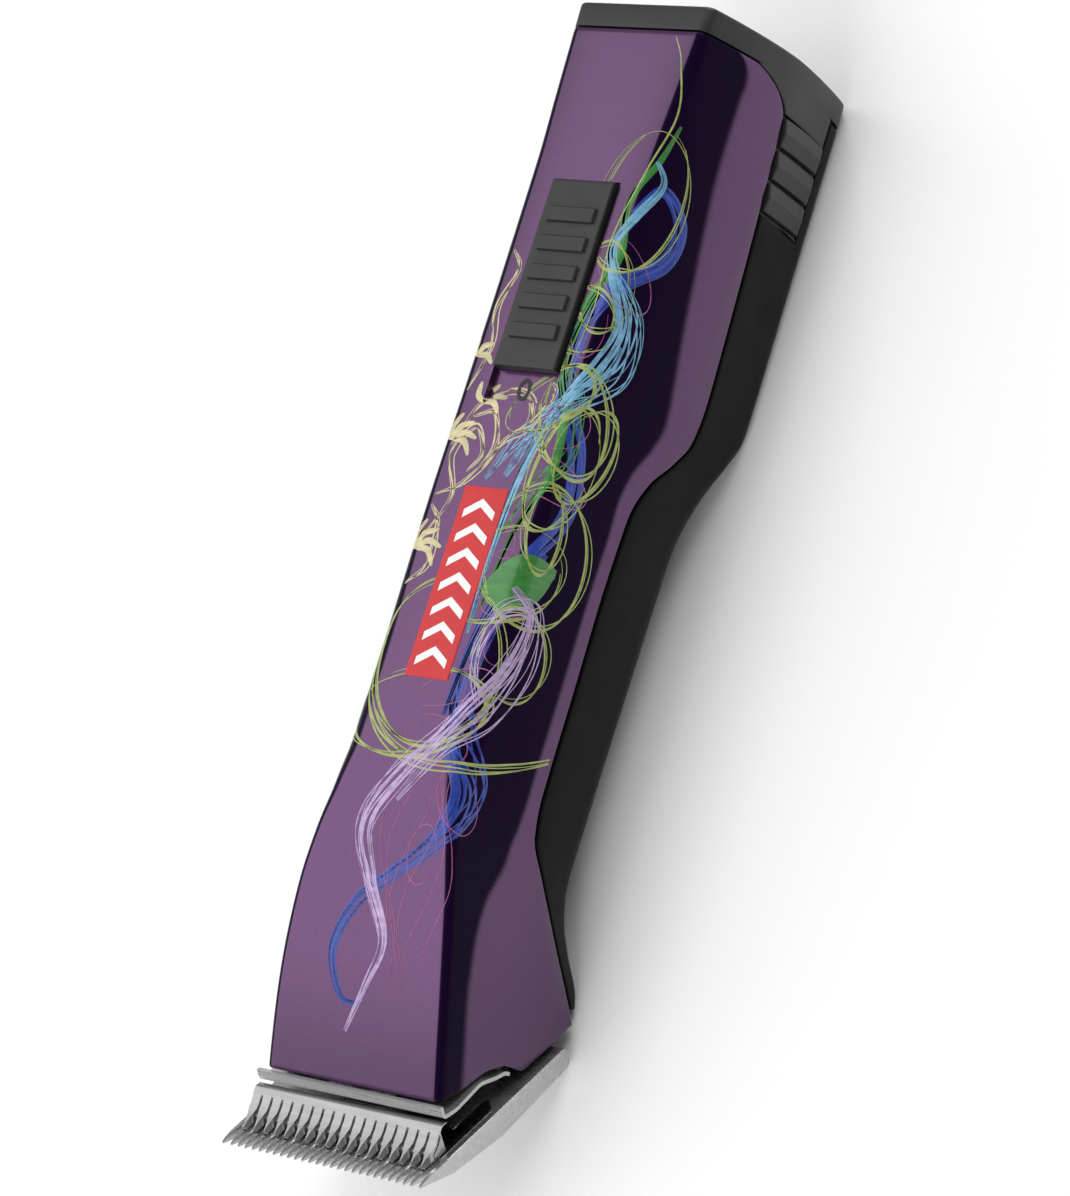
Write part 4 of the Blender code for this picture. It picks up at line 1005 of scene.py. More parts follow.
def on_face(across, along, height):
    """Points a height above the front skin, bilinear between the table's cells."""
    row = np.interp(along, FRONT_STATIONS, np.arange(len(FRONT_STATIONS)))
    column = (across - PRINT_PLACES[0]) / (PRINT_PLACES[1] - PRINT_PLACES[0])
    i = np.clip(row.astype(int), 0, len(FRONT_STATIONS) - 2)
    j = np.clip(column.astype(int), 0, len(PRINT_PLACES) - 2)
    f = (row - i)[..., None]
    g = (column - j)[..., None]
    made = []
    for table in (PRINT_POINTS, PRINT_NORMALS):
        lower = table[i, j] * (1 - g) + table[i, j + 1] * g
        upper = table[i + 1, j] * (1 - g) + table[i + 1, j + 1] * g
        made.append(lower * (1 - f) + upper * f)
    x, y = made[0][..., 0], made[0][..., 1]
    near = (made[0][..., 2] > FACE_HEIGHT - 2.5) & (np.abs(x) < RECESS_HALF_WIDTH + 1)
    dent = np.where(near, recess_share(x, y, 0.18), 0.0) * sizes().recess_depth / MM
    return made[0] + made[1] * (height - dent)[..., None], dent


def through(places, count):
    """Catmull-Rom curve through places: count points along it."""
    p = np.asarray(places, float)
    p = np.concatenate((2 * p[:1] - p[1:2], p, 2 * p[-1:] - p[-2:-1]))
    t = np.linspace(0.0, len(places) - 1, count)
    i = np.minimum(t.astype(int), len(places) - 2)
    f = (t - i)[:, None]
    a, b, c, d = p[i], p[i + 1], p[i + 2], p[i + 3]
    return 0.5 * (2 * b + (c - a) * f + (2 * a - 5 * b + 4 * c - d) * f ** 2
                  + (3 * b - a - 3 * c + d) * f ** 3)


def ring_path(middle, radii, turn, start=0.0, end=360.0, count=120):
    """Part of an ellipse round a middle, turned; angles in degrees."""
    t = np.radians(np.linspace(start, end, count))
    u, v = radii[0] * np.cos(t), radii[1] * np.sin(t)
    c, s = math.cos(math.radians(turn)), math.sin(math.radians(turn))
    return np.stack((middle[0] + c * u - s * v, middle[1] + s * u + c * v), 1)


def beside(path, offset):
    """A path moved sideways by an offset at each of its points."""
    step = np.gradient(path, axis=0)
    step /= np.maximum(np.linalg.norm(step, axis=1, keepdims=True), 1e-9)
    return path + np.stack((-step[:, 1], step[:, 0]), 1) * np.asarray(offset)[:, None]


def stroke(path, width, layer):
    """Closed thin strip on the front skin along a path, tapering to its ends.

    Its outer skin is a flat-topped ridge a print height proud, its inner skin lies in the shell."""
    t = np.linspace(0.0, 1.0, len(path))
    taper = 0.22 + 0.78 * np.sqrt(np.clip(np.sin(np.pi * t), 0, 1))
    across = np.array((-0.5, -0.38, 0.0, 0.38, 0.5))
    height = sizes().print_height / MM * (1 + layer) * np.array((0.25, 1.0, 1.0, 1.0, 0.25))
    lines = np.stack([beside(path, width * taper * share) for share in across], 1)
    half = lines.shape[1]
    tall = np.broadcast_to(height, lines.shape[:2])
    outer, dent = on_face(lines[..., 0], lines[..., 1], tall)
    inner, _ = on_face(lines[..., 0], lines[..., 1], np.full(lines.shape[:2], -0.05))
    x, y = outer[..., 0], outer[..., 1]
    corner_dents = np.stack((dent[:-1, :-1], dent[1:, :-1], dent[:-1, 1:], dent[1:, 1:]))
    level = np.ptp(corner_dents, axis=0) < 0.3
    seam = np.abs(lines[..., 0]) < print_limit(lines[..., 1])
    hidden = (np.abs(x) < RECESS_HALF_WIDTH) & (y > SLIDER_START - 0.3) & (y < RECESS_END + 0.3) & (dent > 0.1)
    badge = (np.abs(x - BADGE_MIDDLE[0]) < BADGE_HALF[0] - 0.3) & (np.abs(y - BADGE_MIDDLE[1]) < BADGE_HALF[1] - 0.3)
    fine = seam & ~hidden & ~badge
    keep = level & fine[:-1, :-1] & fine[1:, :-1] & fine[:-1, 1:] & fine[1:, 1:]
    keep[:] = keep.all(1, keepdims=True)
    if not keep.any():
        return []
    return [walled_solid(outer, inner, keep)]


def print_limit(along):
    """How far from the centre line the printing may go: just short of the seam."""
    middle = FRONT_SKIN.shape[1] // 2
    step = np.linalg.norm(np.diff(FRONT_SKIN, axis=1), axis=2)
    return np.interp(along, FRONT_STATIONS, step[:, :middle].sum(1)) - 0.9


def strands(places, count, spread, widths, twist, layer, samples=260):
    """Several strands about one path, each weaving across it as a sine of its own phase."""
    path = through(places, samples)
    t = np.linspace(0.0, 1.0, samples)
    made = []
    for k in range(count):
        phase = 2.4 * k + 0.4
        offset = spread * np.sin(math.tau * twist * t + phase) * (0.25 + 0.75 * np.sin(np.pi * t))
        width = widths[0] + (widths[1] - widths[0]) * ((k * 0.37) % 1.0)
        made += stroke(beside(path, offset), width, layer)
    return made


BADGE_MIDDLE = (-0.2, -4.6)
BADGE_HALF = (5.2, 19.0)
BADGE_RISE = 0.12


def lavender_art():
    """Silk that climbs the head, crosses the face and rolls over beside the badge."""
    sweep = ((-2.5, -89), (1.5, -80), (4.0, -72), (-1.0, -62), (-4.5, -52), (1.0, -42), (8.5, -33), (16.0, -20),
             (18.0, -9), (13.0, -4))
    loop = ((1.5, -47), (9.0, -37), (16.0, -29), (20.5, -17), (18.5, -7), (12.0, -9), (9.5, -18), (13.0, -27))
    return (strands(sweep, 5, 1.3, (0.3, 0.9), 0.6, 0.9) + strands(loop, 6, 2.0, (0.12, 0.45), 0.7, 0.95)
            + strands(sweep[2:], 6, 2.6, (0.1, 0.28), 0.9, 0.92))


def deep_blue_art():
    """Broad deep ribbon beneath the others, with a loop at the head and a tail near the cap."""
    foot = ((0.5, -84), (-4.5, -83), (-7.5, -75), (-3.0, -66), (4.5, -60), (12.0, -53), (14.5, -44), (9.0, -34),
            (8.0, -22))
    bundle = ((9.0, -58), (16.0, -50), (18.0, -42), (12.0, -33), (9.0, -22), (12.0, -8), (17.0, 4))
    rise = ((6.5, -30), (8.0, -14), (13.0, 0), (19.0, 12), (17.0, 24), (11.0, 34), (10.0, 46), (14.0, 56),
            (22.0, 64), (23.0, 72), (17.5, 77), (13.0, 71))
    return (strands(foot, 6, 1.0, (0.3, 1.1), 0.6, 0.1) + strands(rise, 6, 1.6, (0.4, 1.6), 0.9, 0.15)
            + strands(bundle, 8, 2.6, (0.2, 0.8), 0.8, 0.12))


def sky_blue_art():
    """Pale blue silk from beside the badge, round the switch's corner and up."""
    rise = ((6.0, -14), (5.5, 2), (6.5, 18), (10.5, 31), (15.5, 41), (17.5, 50), (13.5, 58), (11.0, 64),
            (14.0, 71), (17.0, 78), (14.5, 82))
    low = ((3.0, 17), (7.0, 27), (13.0, 33), (20.5, 41), (20.0, 52), (12.0, 60))
    back = ((-1.5, 16), (3.0, 24), (9.0, 30), (16.0, 37), (19.0, 46))
    return (strands(rise, 6, 1.1, (0.25, 0.9), 0.8, 0.5) + strands(low, 8, 2.2, (0.14, 0.5), 0.7, 0.55)
            + strands(back, 6, 1.8, (0.12, 0.4), 0.6, 0.52))


def green_art():
    """Grass-like ribbons with a pointed leaf beside the badge."""
    blade = ((7.0, -9), (9.0, 6), (13.0, 18), (12.0, 30), (8.0, 40), (9.5, 52), (13.0, 62), (11.5, 73), (15.0, 82),
             (17.0, 90))
    low = ((5.5, 4), (9.0, 14), (15.0, 22), (14.0, 33), (9.5, 40))
    made = strands(blade, 5, 0.8, (0.35, 1.5), 0.7, 0.35) + strands(low, 5, 1.8, (0.15, 0.6), 0.7, 0.37)
    t = np.linspace(0.0, 1.0, 120)
    for k in range(9):
        far = through(((6.0, -5.5), (11.0, -4.0 + 0.35 * (k - 4)), (16.0, -1.5 + 0.4 * (k - 4)),
                       (20.5 - 0.5 * (k % 3), 1.5 + 0.2 * (k - 4))), 120)
        made += stroke(beside(far, (k - 4) * 0.75 * np.sin(np.pi * np.clip(t * 1.05, 0, 1))), 1.5, 0.4 + 0.01 * k)
    return made


def lime_art():
    """Thin loops thrown wide round the ribbons, and one long line up to the cap."""
    rings = (((11.5, 56.0), (5.0, 9.5), 12.0), ((9.0, 49.0), (6.5, 7.0), -30.0), ((15.0, 20.0), (5.5, 13.0), -10.0),
             ((9.5, -2.0), (12.5, 9.5), 18.0), ((1.0, -20.0), (13.5, 17.0), 20.0), ((14.0, 30.0), (7.0, 12.0), 25.0),
             ((13.5, 74.0), (8.5, 15.0), -6.0), ((15.5, 8.0), (3.4, 8.5), 8.0), ((0.0, -30.0), (15.0, 9.0), 8.0),
             ((15.5, 3.0), (11.0, 14.0), 12.0), ((19.0, 24.0), (5.0, 10.0), -14.0), ((8.0, 33.0), (9.0, 6.0), 30.0),
             ((17.0, -16.0), (7.0, 9.0), 20.0))
    made = []
    for k, (middle, radii, turn) in enumerate(rings):
        for shift in (0.0, 0.45, 1.5):
            path = ring_path(middle, (radii[0] + shift, radii[1] - 0.7 * shift), turn + 3 * shift, 20.0 * k,
                             20.0 * k + 300.0 + 40.0 * shift)
            made += stroke(path, (0.42 if shift == 0 else 0.22) + 0.05 * (k % 3), 0.75)
    sweep = ((-13.5, -14), (-14.0, -24), (-8.0, -34), (2.0, -39), (14.0, -39), (25.0, -35), (36.0, -29))
    made += strands(sweep, 4, 1.1, (0.25, 0.6), 0.5, 0.78)
    climb = through(((9.5, 38), (11.0, 52), (10.0, 66), (13.0, 80), (15.5, 92), (13.0, 102), (9.8, 107.5)), 200)
    return made + stroke(climb, 0.4, 0.7)


def cream_art():
    """Curled tendrils with small petals between the switch and the badge's outer side."""
    made = []
    curls = (((-11.5, 4), (-8.0, 12), (-11.0, 20), (-7.5, 26), (-4.0, 21), (-6.5, 17)),
             ((-12.0, 22), (-8.5, 30), (-3.0, 34), (2.5, 33), (4.5, 28), (1.0, 25)),
             ((-12.5, 33), (-10.0, 42), (-11.5, 50), (-9.5, 58), (-12.0, 62)),
             ((-12.5, -6), (-8.5, -2), (-9.0, 6), (-12.0, 10)),
             ((-3.0, 18), (0.5, 24), (5.0, 27), (8.5, 34), (5.5, 37)),
             ((-12.0, 12), (-6.0, 15), (-1.5, 22), (-4.0, 29), (-9.0, 28)))
    for curl in curls:
        made += strands(curl, 3, 0.7, (0.2, 0.5), 0.8, 0.65, 160)
    for x, y, count, reach in ((-12.5, 1.0, 5, 6.0), (-12.0, 23.0, 5, 5.5), (-7.5, 31.0, 4, 4.5), (-12.5, 40.0, 3, 4.0)):
        for k in range(count):
            angle = math.radians(-50.0 + 190.0 * (k + 0.5) / count)
            tip = (x + reach * math.cos(angle), y + reach * math.sin(angle))
            bend = (x + 0.5 * reach * math.cos(angle + 0.5), y + 0.5 * reach * math.sin(angle + 0.5))
            made += stroke(through(((x, y), bend, tip), 40), 1.3, 0.66)
    return made


def rose_art():
    """Hair-thin rose threads tangled under the silk."""
    made = []
    for k in range(12):
        middle = (10.0 + 5.5 * math.sin(1.9 * k), -56.0 + 10.5 * k)
        made += stroke(ring_path(middle, (3.2 + 0.6 * (k % 3), 5.5 + k % 4), 37.0 * k, 40.0 * k, 40.0 * k + 330.0), 0.2, 0.6)
    for k in range(6):
        wave = through([(2.0 + 2.6 * k + 2.8 * math.sin(1.3 * n + k), -80.0 + 8.0 * n + 2 * (k % 2)) for n in range(6)], 200)
        made += stroke(wave, 0.18, 0.6)
    return made


class BuildPrinting(bpy.types.Operator):
    """Printed ribbons of seven inks, and the plain red badge with its chevrons"""
    bl_idname = "clipper.printing"
    bl_label = "Printing"

    def execute(self, context):
        inks = (("lavender", (0.50, 0.36, 0.62), lavender_art), ("deep_blue", (0.010, 0.045, 0.36), deep_blue_art),
                ("sky_blue", (0.17, 0.42, 0.62), sky_blue_art), ("green", (0.03, 0.22, 0.03), green_art),
                ("lime", (0.34, 0.42, 0.10), lime_art), ("cream", (0.62, 0.55, 0.30), cream_art),
                ("rose", (0.36, 0.08, 0.26), rose_art))
        for ink, colour, art in inks:
            points, faces = joined_solids(art())
            mesh = make_mesh("printed_" + ink, points, faces, 60.0)
            add_piece("printed_" + ink, mesh, print_look("ink_" + ink, colour), "housing", "purple_lacquer")
        self.badge()
        self.zero_mark()
        return {"FINISHED"}

    def badge(self):
        """Thin plate with rounded edges, and a row of chevrons pointing along the body."""
        (x, y), (wide, long) = BADGE_MIDDLE, BADGE_HALF
        outer, inner = soft_block(rounded_places(x - wide, x + wide, 0.1, 12),
                                  rounded_places(y - long, y + long, 0.1, 24), BADGE_RISE + 0.05, FACE_HEIGHT - 0.05, 0.1)
        plate = walled_mesh("badge_plate", outer, inner)
        look = Look("badge_enamel", tuple(colours().badge), 0.45)
        look.vary_colour(look.noise((400.0, 400.0, 400.0), 2.0), 0.94, 1.04)
        look.vary_roughness((300.0, 300.0, 300.0), 0.03)
        add_piece("badge_plate", plate, look.coat(0.2, 0.06).material, "housing", "purple_lacquer")
        arms = []
        top, low = FACE_HEIGHT + BADGE_RISE + 0.03, FACE_HEIGHT + BADGE_RISE - 0.04
        t = np.linspace(0.0, 1.0, 9)[:, None]
        for centre in y + 4.9 * (np.arange(7) - 3.0):
            for side in (-1, 1):
                place_x = x + side * 3.7 * t + 0 * np.array((0.0, 1.0))[None, :]
                place_y = centre - 1.3 + 2.4 * (1 - t) + np.array((-0.85, 0.85))[None, :]
                if side < 0:
                    place_x, place_y = place_x[::-1], place_y[::-1]
                outer = np.stack((place_x, place_y, np.full_like(place_x, top)), -1)
                inner = np.stack((place_x, place_y, np.full_like(place_x, low)), -1)
                arms.append(walled_solid(outer, inner))
        points, faces = joined_solids(arms)
        white = Look("chevron_white", (0.86, 0.86, 0.86), 0.35)
        white.vary_colour(white.noise((500.0, 500.0, 500.0), 2.0), 0.96, 1.0)
        white.vary_roughness((300.0, 300.0, 300.0), 0.03)
        add_piece("badge_chevrons", make_mesh("badge_chevrons", points, faces), white.coat(0.6, 0.06).material,
                  "housing", "white_plastic")

    def zero_mark(self):
        """Narrow oval ring on the recess floor, in front of the slider."""
        angle = np.linspace(0.0, math.tau, 49)[:-1]
        floor = FACE_HEIGHT - sizes().recess_depth / MM
        ring = np.stack((np.cos(angle), np.sin(angle)), 1)
        skins = [np.stack([np.column_stack((ring * size + (0.0, 34.6), np.full(48, z))) for size in
                           (np.array((1.55, 2.3)), np.array((0.8, 1.4)))]) for z in (floor + 0.09, floor - 0.05)]
        points, faces = walled_solid(skins[0], skins[1], None, True)
        look = Look("mark_black", (0.012, 0.012, 0.012), 0.4)
        look.vary_colour(look.noise((600.0, 600.0, 600.0), 2.0), 0.8, 1.2)
        look.vary_roughness((300.0, 300.0, 300.0), 0.04)
        add_piece("zero_mark", make_mesh("zero_mark", points, faces), look.material, "housing", "black_plastic")


# ---------------------------------------------------------------- blade set

def carried_profile(profile, stations, insets):
    """Closed solid: a profile (along, height) in the blade's axes carried across X.

    Each station draws the profile in towards its middle by its inset; the ends are capped."""
    profile = np.asarray(profile, float)
    before = profile - np.roll(profile, 1, axis=0)
    after = np.roll(profile, -1, axis=0) - profile
    before /= np.linalg.norm(before, axis=1, keepdims=True)
    after /= np.linalg.norm(after, axis=1, keepdims=True)
    normal = np.stack(((before + after)[:, 1], -(before + after)[:, 0]), -1)
    normal /= np.maximum(np.linalg.norm(normal, axis=1, keepdims=True), 1e-9)
    shoelace = (profile[:, 0] * np.roll(profile[:, 1], -1) - np.roll(profile[:, 0], -1) * profile[:, 1]).sum()
    normal *= np.sign(shoelace)
    shape = profile[None] - np.asarray(insets)[:, None, None] * normal[None]
    points = from_blade_axes(np.asarray(stations, float)[:, None], shape[..., 0], shape[..., 1])
    rows, count = points.shape[:2]
    faces = walled_faces(np.ones((rows - 1, count), bool), True)[:(rows - 1) * count].tolist()
    last = (rows - 1) * count
    faces += [list(range(count)), list(range(last, last + count))]
    return points.reshape(-1, 3), faces


def rounded_outline(points, radii, steps=5):
    """Closed outline with each corner rounded by a parabola that starts a radius before it."""
    points = np.asarray(points, float)
    made = []
    for k, (corner, radius) in enumerate(zip(points, radii)):
        if radius <= 0:
            made.append(corner[None])
            continue
        back = points[k - 1] - corner
        ahead = points[(k + 1) % len(points)] - corner
        start = corner + back / np.linalg.norm(back) * radius
        end = corner + ahead / np.linalg.norm(ahead) * radius
        made.append(parabola(start, corner, end, np.linspace(0.0, 1.0, steps)[:, None]))
    return np.concatenate(made)


def row_of_teeth(centres, rings):
    """Solids repeated across X: rings (stations, corners, 3) of (across, along, height)."""
    stations, corners = rings.shape[:2]
    places = np.broadcast_to(rings, (len(centres), stations, corners, 3)).copy()
    places[..., 0] += np.asarray(centres)[:, None, None]
    points = from_blade_axes(places[..., 0], places[..., 1], places[..., 2]).reshape(-1, 3)
    one = walled_faces(np.ones((stations - 1, corners), bool), True)[:(stations - 1) * corners]
    shift = (np.arange(len(centres)) * stations * corners)[:, None, None]
    sides = (one[None] + shift).reshape(-1, 4).tolist()
    ends = np.stack((np.arange(corners), np.arange(corners) + (stations - 1) * corners))
    caps = (ends[None] + shift).reshape(-1, corners).tolist()
    return points, sides + caps


class BuildBladeSet(bpy.types.Operator):
    """Comb with pointed guard teeth, cutter with bevelled teeth, and the tension spring"""
    bl_idname = "clipper.blade_set"
    bl_label = "Blade set"

    def execute(self, context):
        self.comb()
        self.cutter()
        self.spring()
        return {"FINISHED"}

    def comb(self):
        """A ground plate and a row of pointed teeth that run into it."""
        outline = ((8.2, -2.5), (9.0, -2.7), (23.0, -4.3), (45.4, -3.2), (45.1, 0.1), (44.6, 0.7), (8.2, 0.7))
        radii = (0.0, 0.6, 2.0, 2.0, 0.3, 0.3, 0.0)
        profile = rounded_outline(outline, radii, 7)
        edge = np.array((0.0, 0.06, 0.16, 0.3))
        stations = np.concatenate((-COMB_HALF_WIDTH + edge, COMB_HALF_WIDTH - edge[::-1]))
        insets = np.concatenate((0.3 - np.sqrt(0.09 - (0.3 - edge) ** 2), (0.3 - np.sqrt(0.09 - (0.3 - edge) ** 2))[::-1]))
        plate = carried_profile(profile, stations, insets)
        pitch = 2 * COMB_HALF_WIDTH / COMB_TEETH
        along = np.array((0.0, 0.12, 0.5, 1.4, 3.0, 5.0, 7.0, 9.2))
        top = np.interp(along, (0.0, 0.12, 0.5, 1.4, 3.0, 9.2), (0.1, 0.24, 0.36, 0.52, 0.66, 0.67))
        low = np.interp(along, (0.0, 0.12, 9.0, 9.2), (0.0, -0.06, -2.66, -2.7))
        half_top = np.interp(along, (0.0, 0.12, 1.4, 5.0, 9.2), (0.1, 0.2, 0.36, 0.48, 0.5))
        half_low = np.interp(along, (0.0, 1.4, 5.0, 9.2), (0.08, 0.2, 0.34, 0.44))
        middle = (top + low) / 2
        ring = np.stack((
            np.stack((-half_low, along, low), -1), np.stack((half_low, along, low), -1),
            np.stack((half_top, along, middle), -1), np.stack((half_top * 0.9, along, top), -1),
            np.stack((-half_top * 0.9, along, top), -1), np.stack((-half_top, along, middle), -1)), 1)
        centres = (np.arange(COMB_TEETH) - (COMB_TEETH - 1) / 2) * pitch
        centres[[0, -1]] += (-0.34, 0.34)
        teeth = row_of_teeth(centres, ring)
        points, faces = joined_solids((plate, teeth))
        mesh = make_mesh("blade_comb_fine", points, faces, 30.0)
        look = ground_steel_look("ground_comb_steel", 0.26, 5200.0, 1.12, 0.9)
        add_piece("blade_comb_fine", mesh, look, "blade_set", "polished_steel", "blade_comb")

    def cutter(self):
        """A ground bar whose teeth have a flat face that narrows to a ridge at each tip."""
        outline = ((6.9, 1.0), (24.0, 1.0), (24.0, 3.0), (22.6, 3.6), (13.0, 3.6), (12.4, 5.9),
                   (10.8, 5.95), (9.75, 4.97), (9.5, 4.1), (8.4, 3.05), (6.9, 2.2))
        radii = (0.0, 0.2, 0.3, 0.4, 0.6, 0.35, 0.5, 0.0, 0.2, 0.3, 0.2)
        profile = rounded_outline(outline, radii, 6)
        edge = np.array((0.0, 0.08, 0.2))
        inset = 0.2 - np.sqrt(0.04 - (0.2 - edge) ** 2)
        stations = np.concatenate((-CUTTER_HALF_WIDTH + edge, CUTTER_HALF_WIDTH - edge[::-1]))
        bar = carried_profile(profile, stations, np.concatenate((inset, inset[::-1])))
        pitch = 2 * CUTTER_HALF_WIDTH / CUTTER_TEETH
        along = np.array((4.1, 4.25, 5.2, 6.4, 7.6, 8.6, 10.2))
        top = np.interp(along, (4.1, 4.25, 7.6, 8.6, 10.2), (1.45, 1.62, 3.25, 3.95, 5.4))
        ridge = np.interp(along, (4.1, 4.25, 5.2, 6.4, 7.4, 8.6, 10.2), (0.05, 0.08, 0.22, 0.55, 0.96, 0.98, 0.98))
        foot = np.interp(along, (4.1, 5.2, 7.6, 10.2), (0.8, 0.96, 1.02, 1.02))
        ring = np.stack((
            np.stack((-foot, along, np.full_like(along, 1.0)), -1),
            np.stack((foot, along, np.full_like(along, 1.0)), -1),
            np.stack((foot, along, 1.0 + (top - 1.0) * 0.25), -1),
            np.stack((ridge, along, top), -1), np.stack((-ridge, along, top), -1),
            np.stack((-foot, along, 1.0 + (top - 1.0) * 0.25), -1)), 1)
        centres = (np.arange(CUTTER_TEETH) - (CUTTER_TEETH - 1) / 2) * pitch
        points, faces = joined_solids((bar, row_of_teeth(centres, ring)))
        mesh = make_mesh("blade_cutter_fine", points, faces, 22.0)
        look = ground_steel_look("ground_cutter_steel", 0.27, 6400.0, 0.86)
        add_piece("blade_cutter_fine", mesh, look, "cutter", "polished_steel", "blade_cutter")

    def spring(self):
        """Sheet folded along a path of (along, height), cut to a front bar, two legs and feet."""
        path = ((12.5, 8.85), (12.35, 6.7), (16.0, 6.1), (23.6, 6.6), (28.0, 5.0), (30.4, 4.5), (33.1, 1.35), (39.0, 1.35))
        corners = np.array(path)
        made = [corners[:1]]
        for k in range(1, len(corners) - 1):
            back = corners[k - 1] - corners[k]
            ahead = corners[k + 1] - corners[k]
            reach = min(1.1, 0.4 * np.linalg.norm(back), 0.4 * np.linalg.norm(ahead))
            start = corners[k] + back / np.linalg.norm(back) * reach
            end = corners[k] + ahead / np.linalg.norm(ahead) * reach
            made.append(parabola(start, corners[k], end, np.linspace(0, 1, 7)[:, None]))
        made.append(corners[-1:])
        line = np.concatenate(made)
        more = np.array((14.0, 31.2))
        heights = np.interp(more, line[:, 0], line[:, 1])
        lip = line[:, 1] > 7.0
        line = np.concatenate((line, np.stack((more, heights), -1)))
        lip = np.concatenate((lip, (False, False)))
        line = np.concatenate((line[lip], line[~lip][np.argsort(line[~lip][:, 0])]))
        step = np.gradient(line, axis=0)
        normal = np.stack((-step[:, 1], step[:, 0]), -1)
        normal /= np.linalg.norm(normal, axis=1, keepdims=True)
        x = np.unique(np.concatenate((np.linspace(-22.4, 22.4, 40), (-16.5, -9.0, 9.0, 16.5))))
        skins = []
        for side in (0.36, -0.36):
            place = line + side * normal
            skins.append(from_blade_axes(x[None, :], place[:, :1], place[:, 1:]))
        middle_a = (line[:-1, 0] + line[1:, 0]) / 2
        middle_x = np.abs((x[:-1] + x[1:]) / 2)
        keep = ~((middle_a[:, None] > 14.0) & (middle_x[None, :] < 9.0))
        keep &= ~((middle_a[:, None] > 31.2) & (middle_x[None, :] > 16.5))
        mesh = walled_mesh("tension_spring_fine", skins[0], skins[1], keep, sharp_angle=35.0)
        look = ground_steel_look("rolled_spring_steel", 0.3, 3600.0, 1.1, 0.7)
        add_piece("tension_spring_fine", mesh, look, "blade_set", "polished_steel", "tension_spring")


# ---------------------------------------------------------------- inside parts

class DressInside(bpy.types.Operator):
    """Finishes of the parts that keep their CAD shape: drive, hinge, electronics and cells"""
    bl_idname = "clipper.inside"
    bl_label = "Inside parts"

    def execute(self, context):
        polished = ground_steel_look("turned_steel", 0.22, 4200.0)
        dress(polished, "blade_socket", "hinge_tongue", "hinge_pin", "frame_screw_left", "frame_screw_right",
              "drive_lever", "lever_pivot_pin", "crank_disc", "latch_spring_left", "latch_spring_right")
        dress(dark_steel_look(), "motor_can", "motor_rotor", "lever_bracket", "head_frame",
              "case_screw_head_left", "case_screw_head_right", "case_screw_tail_left",
              "case_screw_tail_right", "blade_screw_left", "blade_screw_right")
        dress(brass_look(), "battery_terminal_left", "battery_terminal_right", "contact_spring_left",
              "contact_spring_right")
        dress(nylon_look(), "motor_end_cap", "drive_guide")
        dress(board_look(), "control_board")
        dress(cell_look(), "battery_cell_left", "battery_cell_right")
        dress(switch_look(), "battery_tray", "slide_switch")
        dress(casing_look("black_block", 1.0, 0.4), "terminal_block")
        return {"FINISHED"}


# ---------------------------------------------------------------- stage

def add_light(name, place, target, size, power, tint=(1.0, 1.0, 1.0)):
    """Soft box at a place, turned towards a target."""
    light = bpy.data.lights.new(name, "AREA")
    light.shape = "RECTANGLE"
    light.size, light.size_y = size
    light.energy = power
    light.color = tint
    obj = bpy.data.objects.new(name, light)
    obj.location = place
    obj.rotation_euler = (Vector(target) - Vector(place)).to_track_quat("-Z", "Y").to_euler()
    bpy.context.scene.collection.objects.link(obj)
    return obj


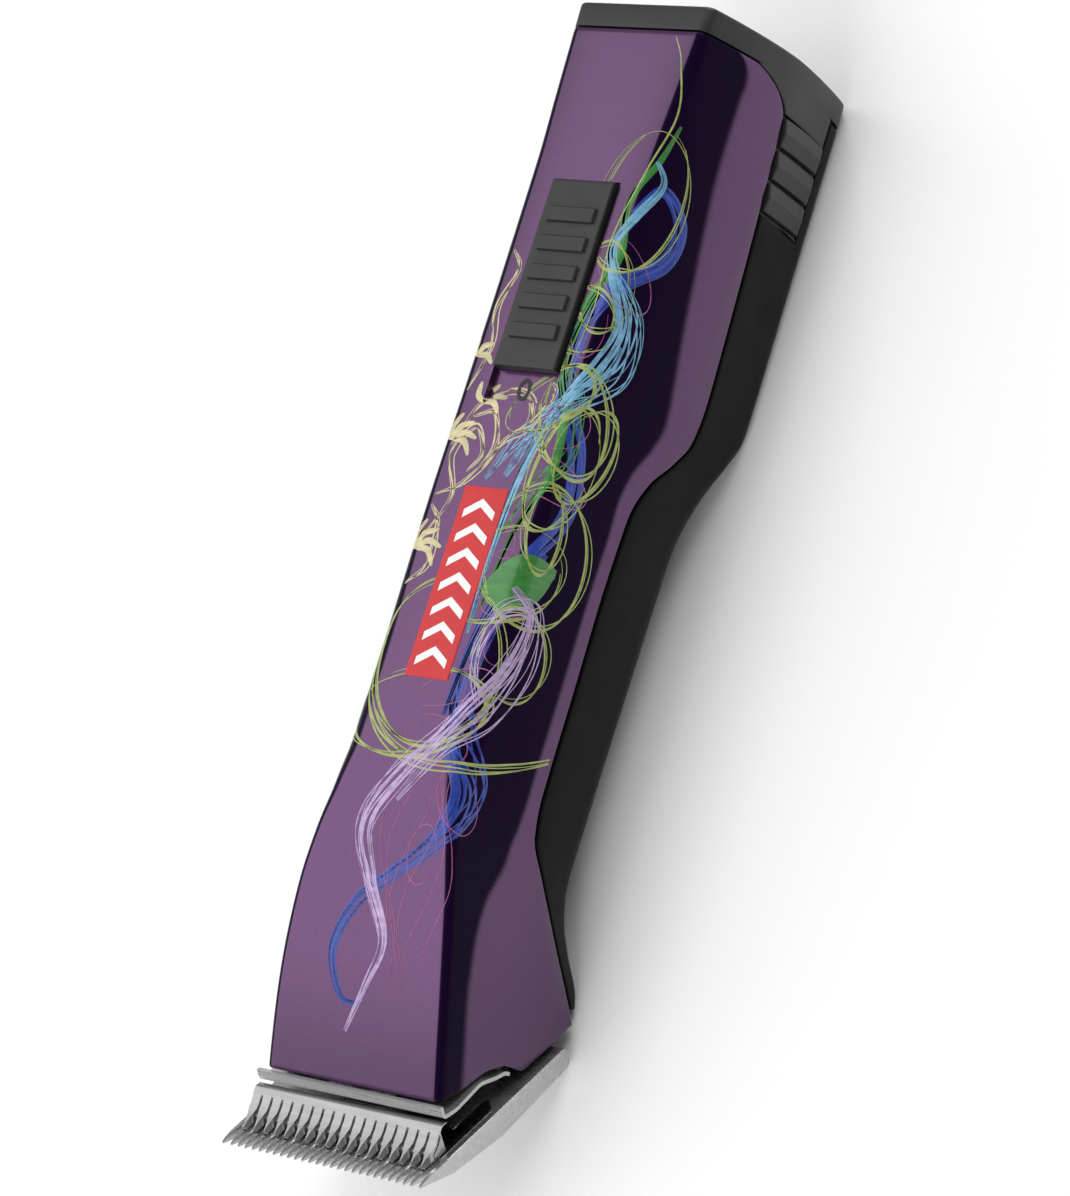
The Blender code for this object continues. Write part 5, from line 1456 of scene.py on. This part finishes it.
class BuildStage(bpy.types.Operator):
    """Pale floor, soft studio lights and the camera"""
    bl_idname = "clipper.stage"
    bl_label = "Stage"

    def execute(self, context):
        scene = context.scene
        half = 3000.0
        corners = np.array(((-half, -half), (half, -half), (half, half), (-half, half)))
        points = np.column_stack((corners, np.full(4, -0.2)))
        mesh = bpy.data.meshes.new("studio_floor")
        mesh.from_pydata((points * MM).tolist(), [], [(0, 1, 2, 3)])
        look = Look("pale_paper", (0.96, 0.96, 0.96), 0.75)
        look.vary_colour(look.noise((8.0, 8.0, 8.0), 2.0), 0.99, 1.01)
        mesh.materials.append(look.material)
        floor = bpy.data.objects.new("studio_floor", mesh)
        scene.collection.objects.link(floor)
        middle = (0.0, 0.0, 0.02)
        add_light("overhead_softbox", (-0.75, -0.1, 1.05), middle, (1.5, 1.7), 10.0)
        add_light("back_softbox", (0.1, 1.25, 0.75), middle, (1.3, 0.6), 13.0)
        add_light("front_softbox", (0.1, -1.25, 0.7), middle, (1.3, 0.6), 12.0)
        world = bpy.data.worlds.new("studio_room")
        world.use_nodes = True
        world.node_tree.nodes["Background"].inputs["Color"].default_value = (1.0, 1.0, 1.0, 1.0)
        world.node_tree.nodes["Background"].inputs["Strength"].default_value = 0.26
        scene.world = world
        scene.view_settings.view_transform = "Standard"
        camera = bpy.data.cameras.new("studio_camera")
        camera.lens = 153.5
        camera.sensor_width = 36.0
        camera.clip_start = 0.01
        camera.clip_end = 20.0
        obj = bpy.data.objects.new("studio_camera", camera)
        right = Vector((0.7749, 0.298, -0.5575)).normalized()
        back = Vector((0.6238, -0.2175, 0.7508)).normalized()
        up = back.cross(right).normalized()
        right = up.cross(back)
        turn = Matrix((right, up, back)).transposed().to_4x4()
        obj.matrix_world = Matrix.Translation((0.6004, -0.2084, 0.7445)) @ turn
        scene.collection.objects.link(obj)
        scene.camera = obj
        return {"FINISHED"}


class ClipperPanel(bpy.types.Panel):
    """Lists the clipper's builders in the sidebar"""
    bl_idname = "VIEW3D_PT_clipper"
    bl_label = "Pet Clipper"
    bl_space_type = "VIEW_3D"
    bl_region_type = "UI"
    bl_category = "Clipper"

    def draw(self, context):
        for name in BUILDERS:
            self.layout.operator(name)
        for group in (context.scene.clipper_sizes, context.scene.clipper_colours):
            for setting in group.__annotations__:
                self.layout.prop(group, setting)


BUILDERS = ("clipper.stage", "clipper.front_shell", "clipper.rear_shell", "clipper.battery_pack",
            "clipper.slider", "clipper.printing", "clipper.blade_set", "clipper.inside")
CLASSES = (ClipperSizes, ClipperColours, BuildStage, BuildFrontShell, BuildRearShell, BuildBatteryPack,
           BuildSlider, BuildPrinting, BuildBladeSet, DressInside, ClipperPanel)


def register():
    for cls in CLASSES:
        bpy.utils.register_class(cls)
    bpy.types.Scene.clipper_sizes = PointerProperty(type=ClipperSizes)
    bpy.types.Scene.clipper_colours = PointerProperty(type=ClipperColours)


def unregister():
    del bpy.types.Scene.clipper_sizes
    del bpy.types.Scene.clipper_colours
    for cls in reversed(CLASSES):
        bpy.utils.unregister_class(cls)


def main():
    register()
    for name in BUILDERS:
        group, builder = name.split(".")
        getattr(getattr(bpy.ops, group), builder)()


if __name__ == "__main__":
    main()
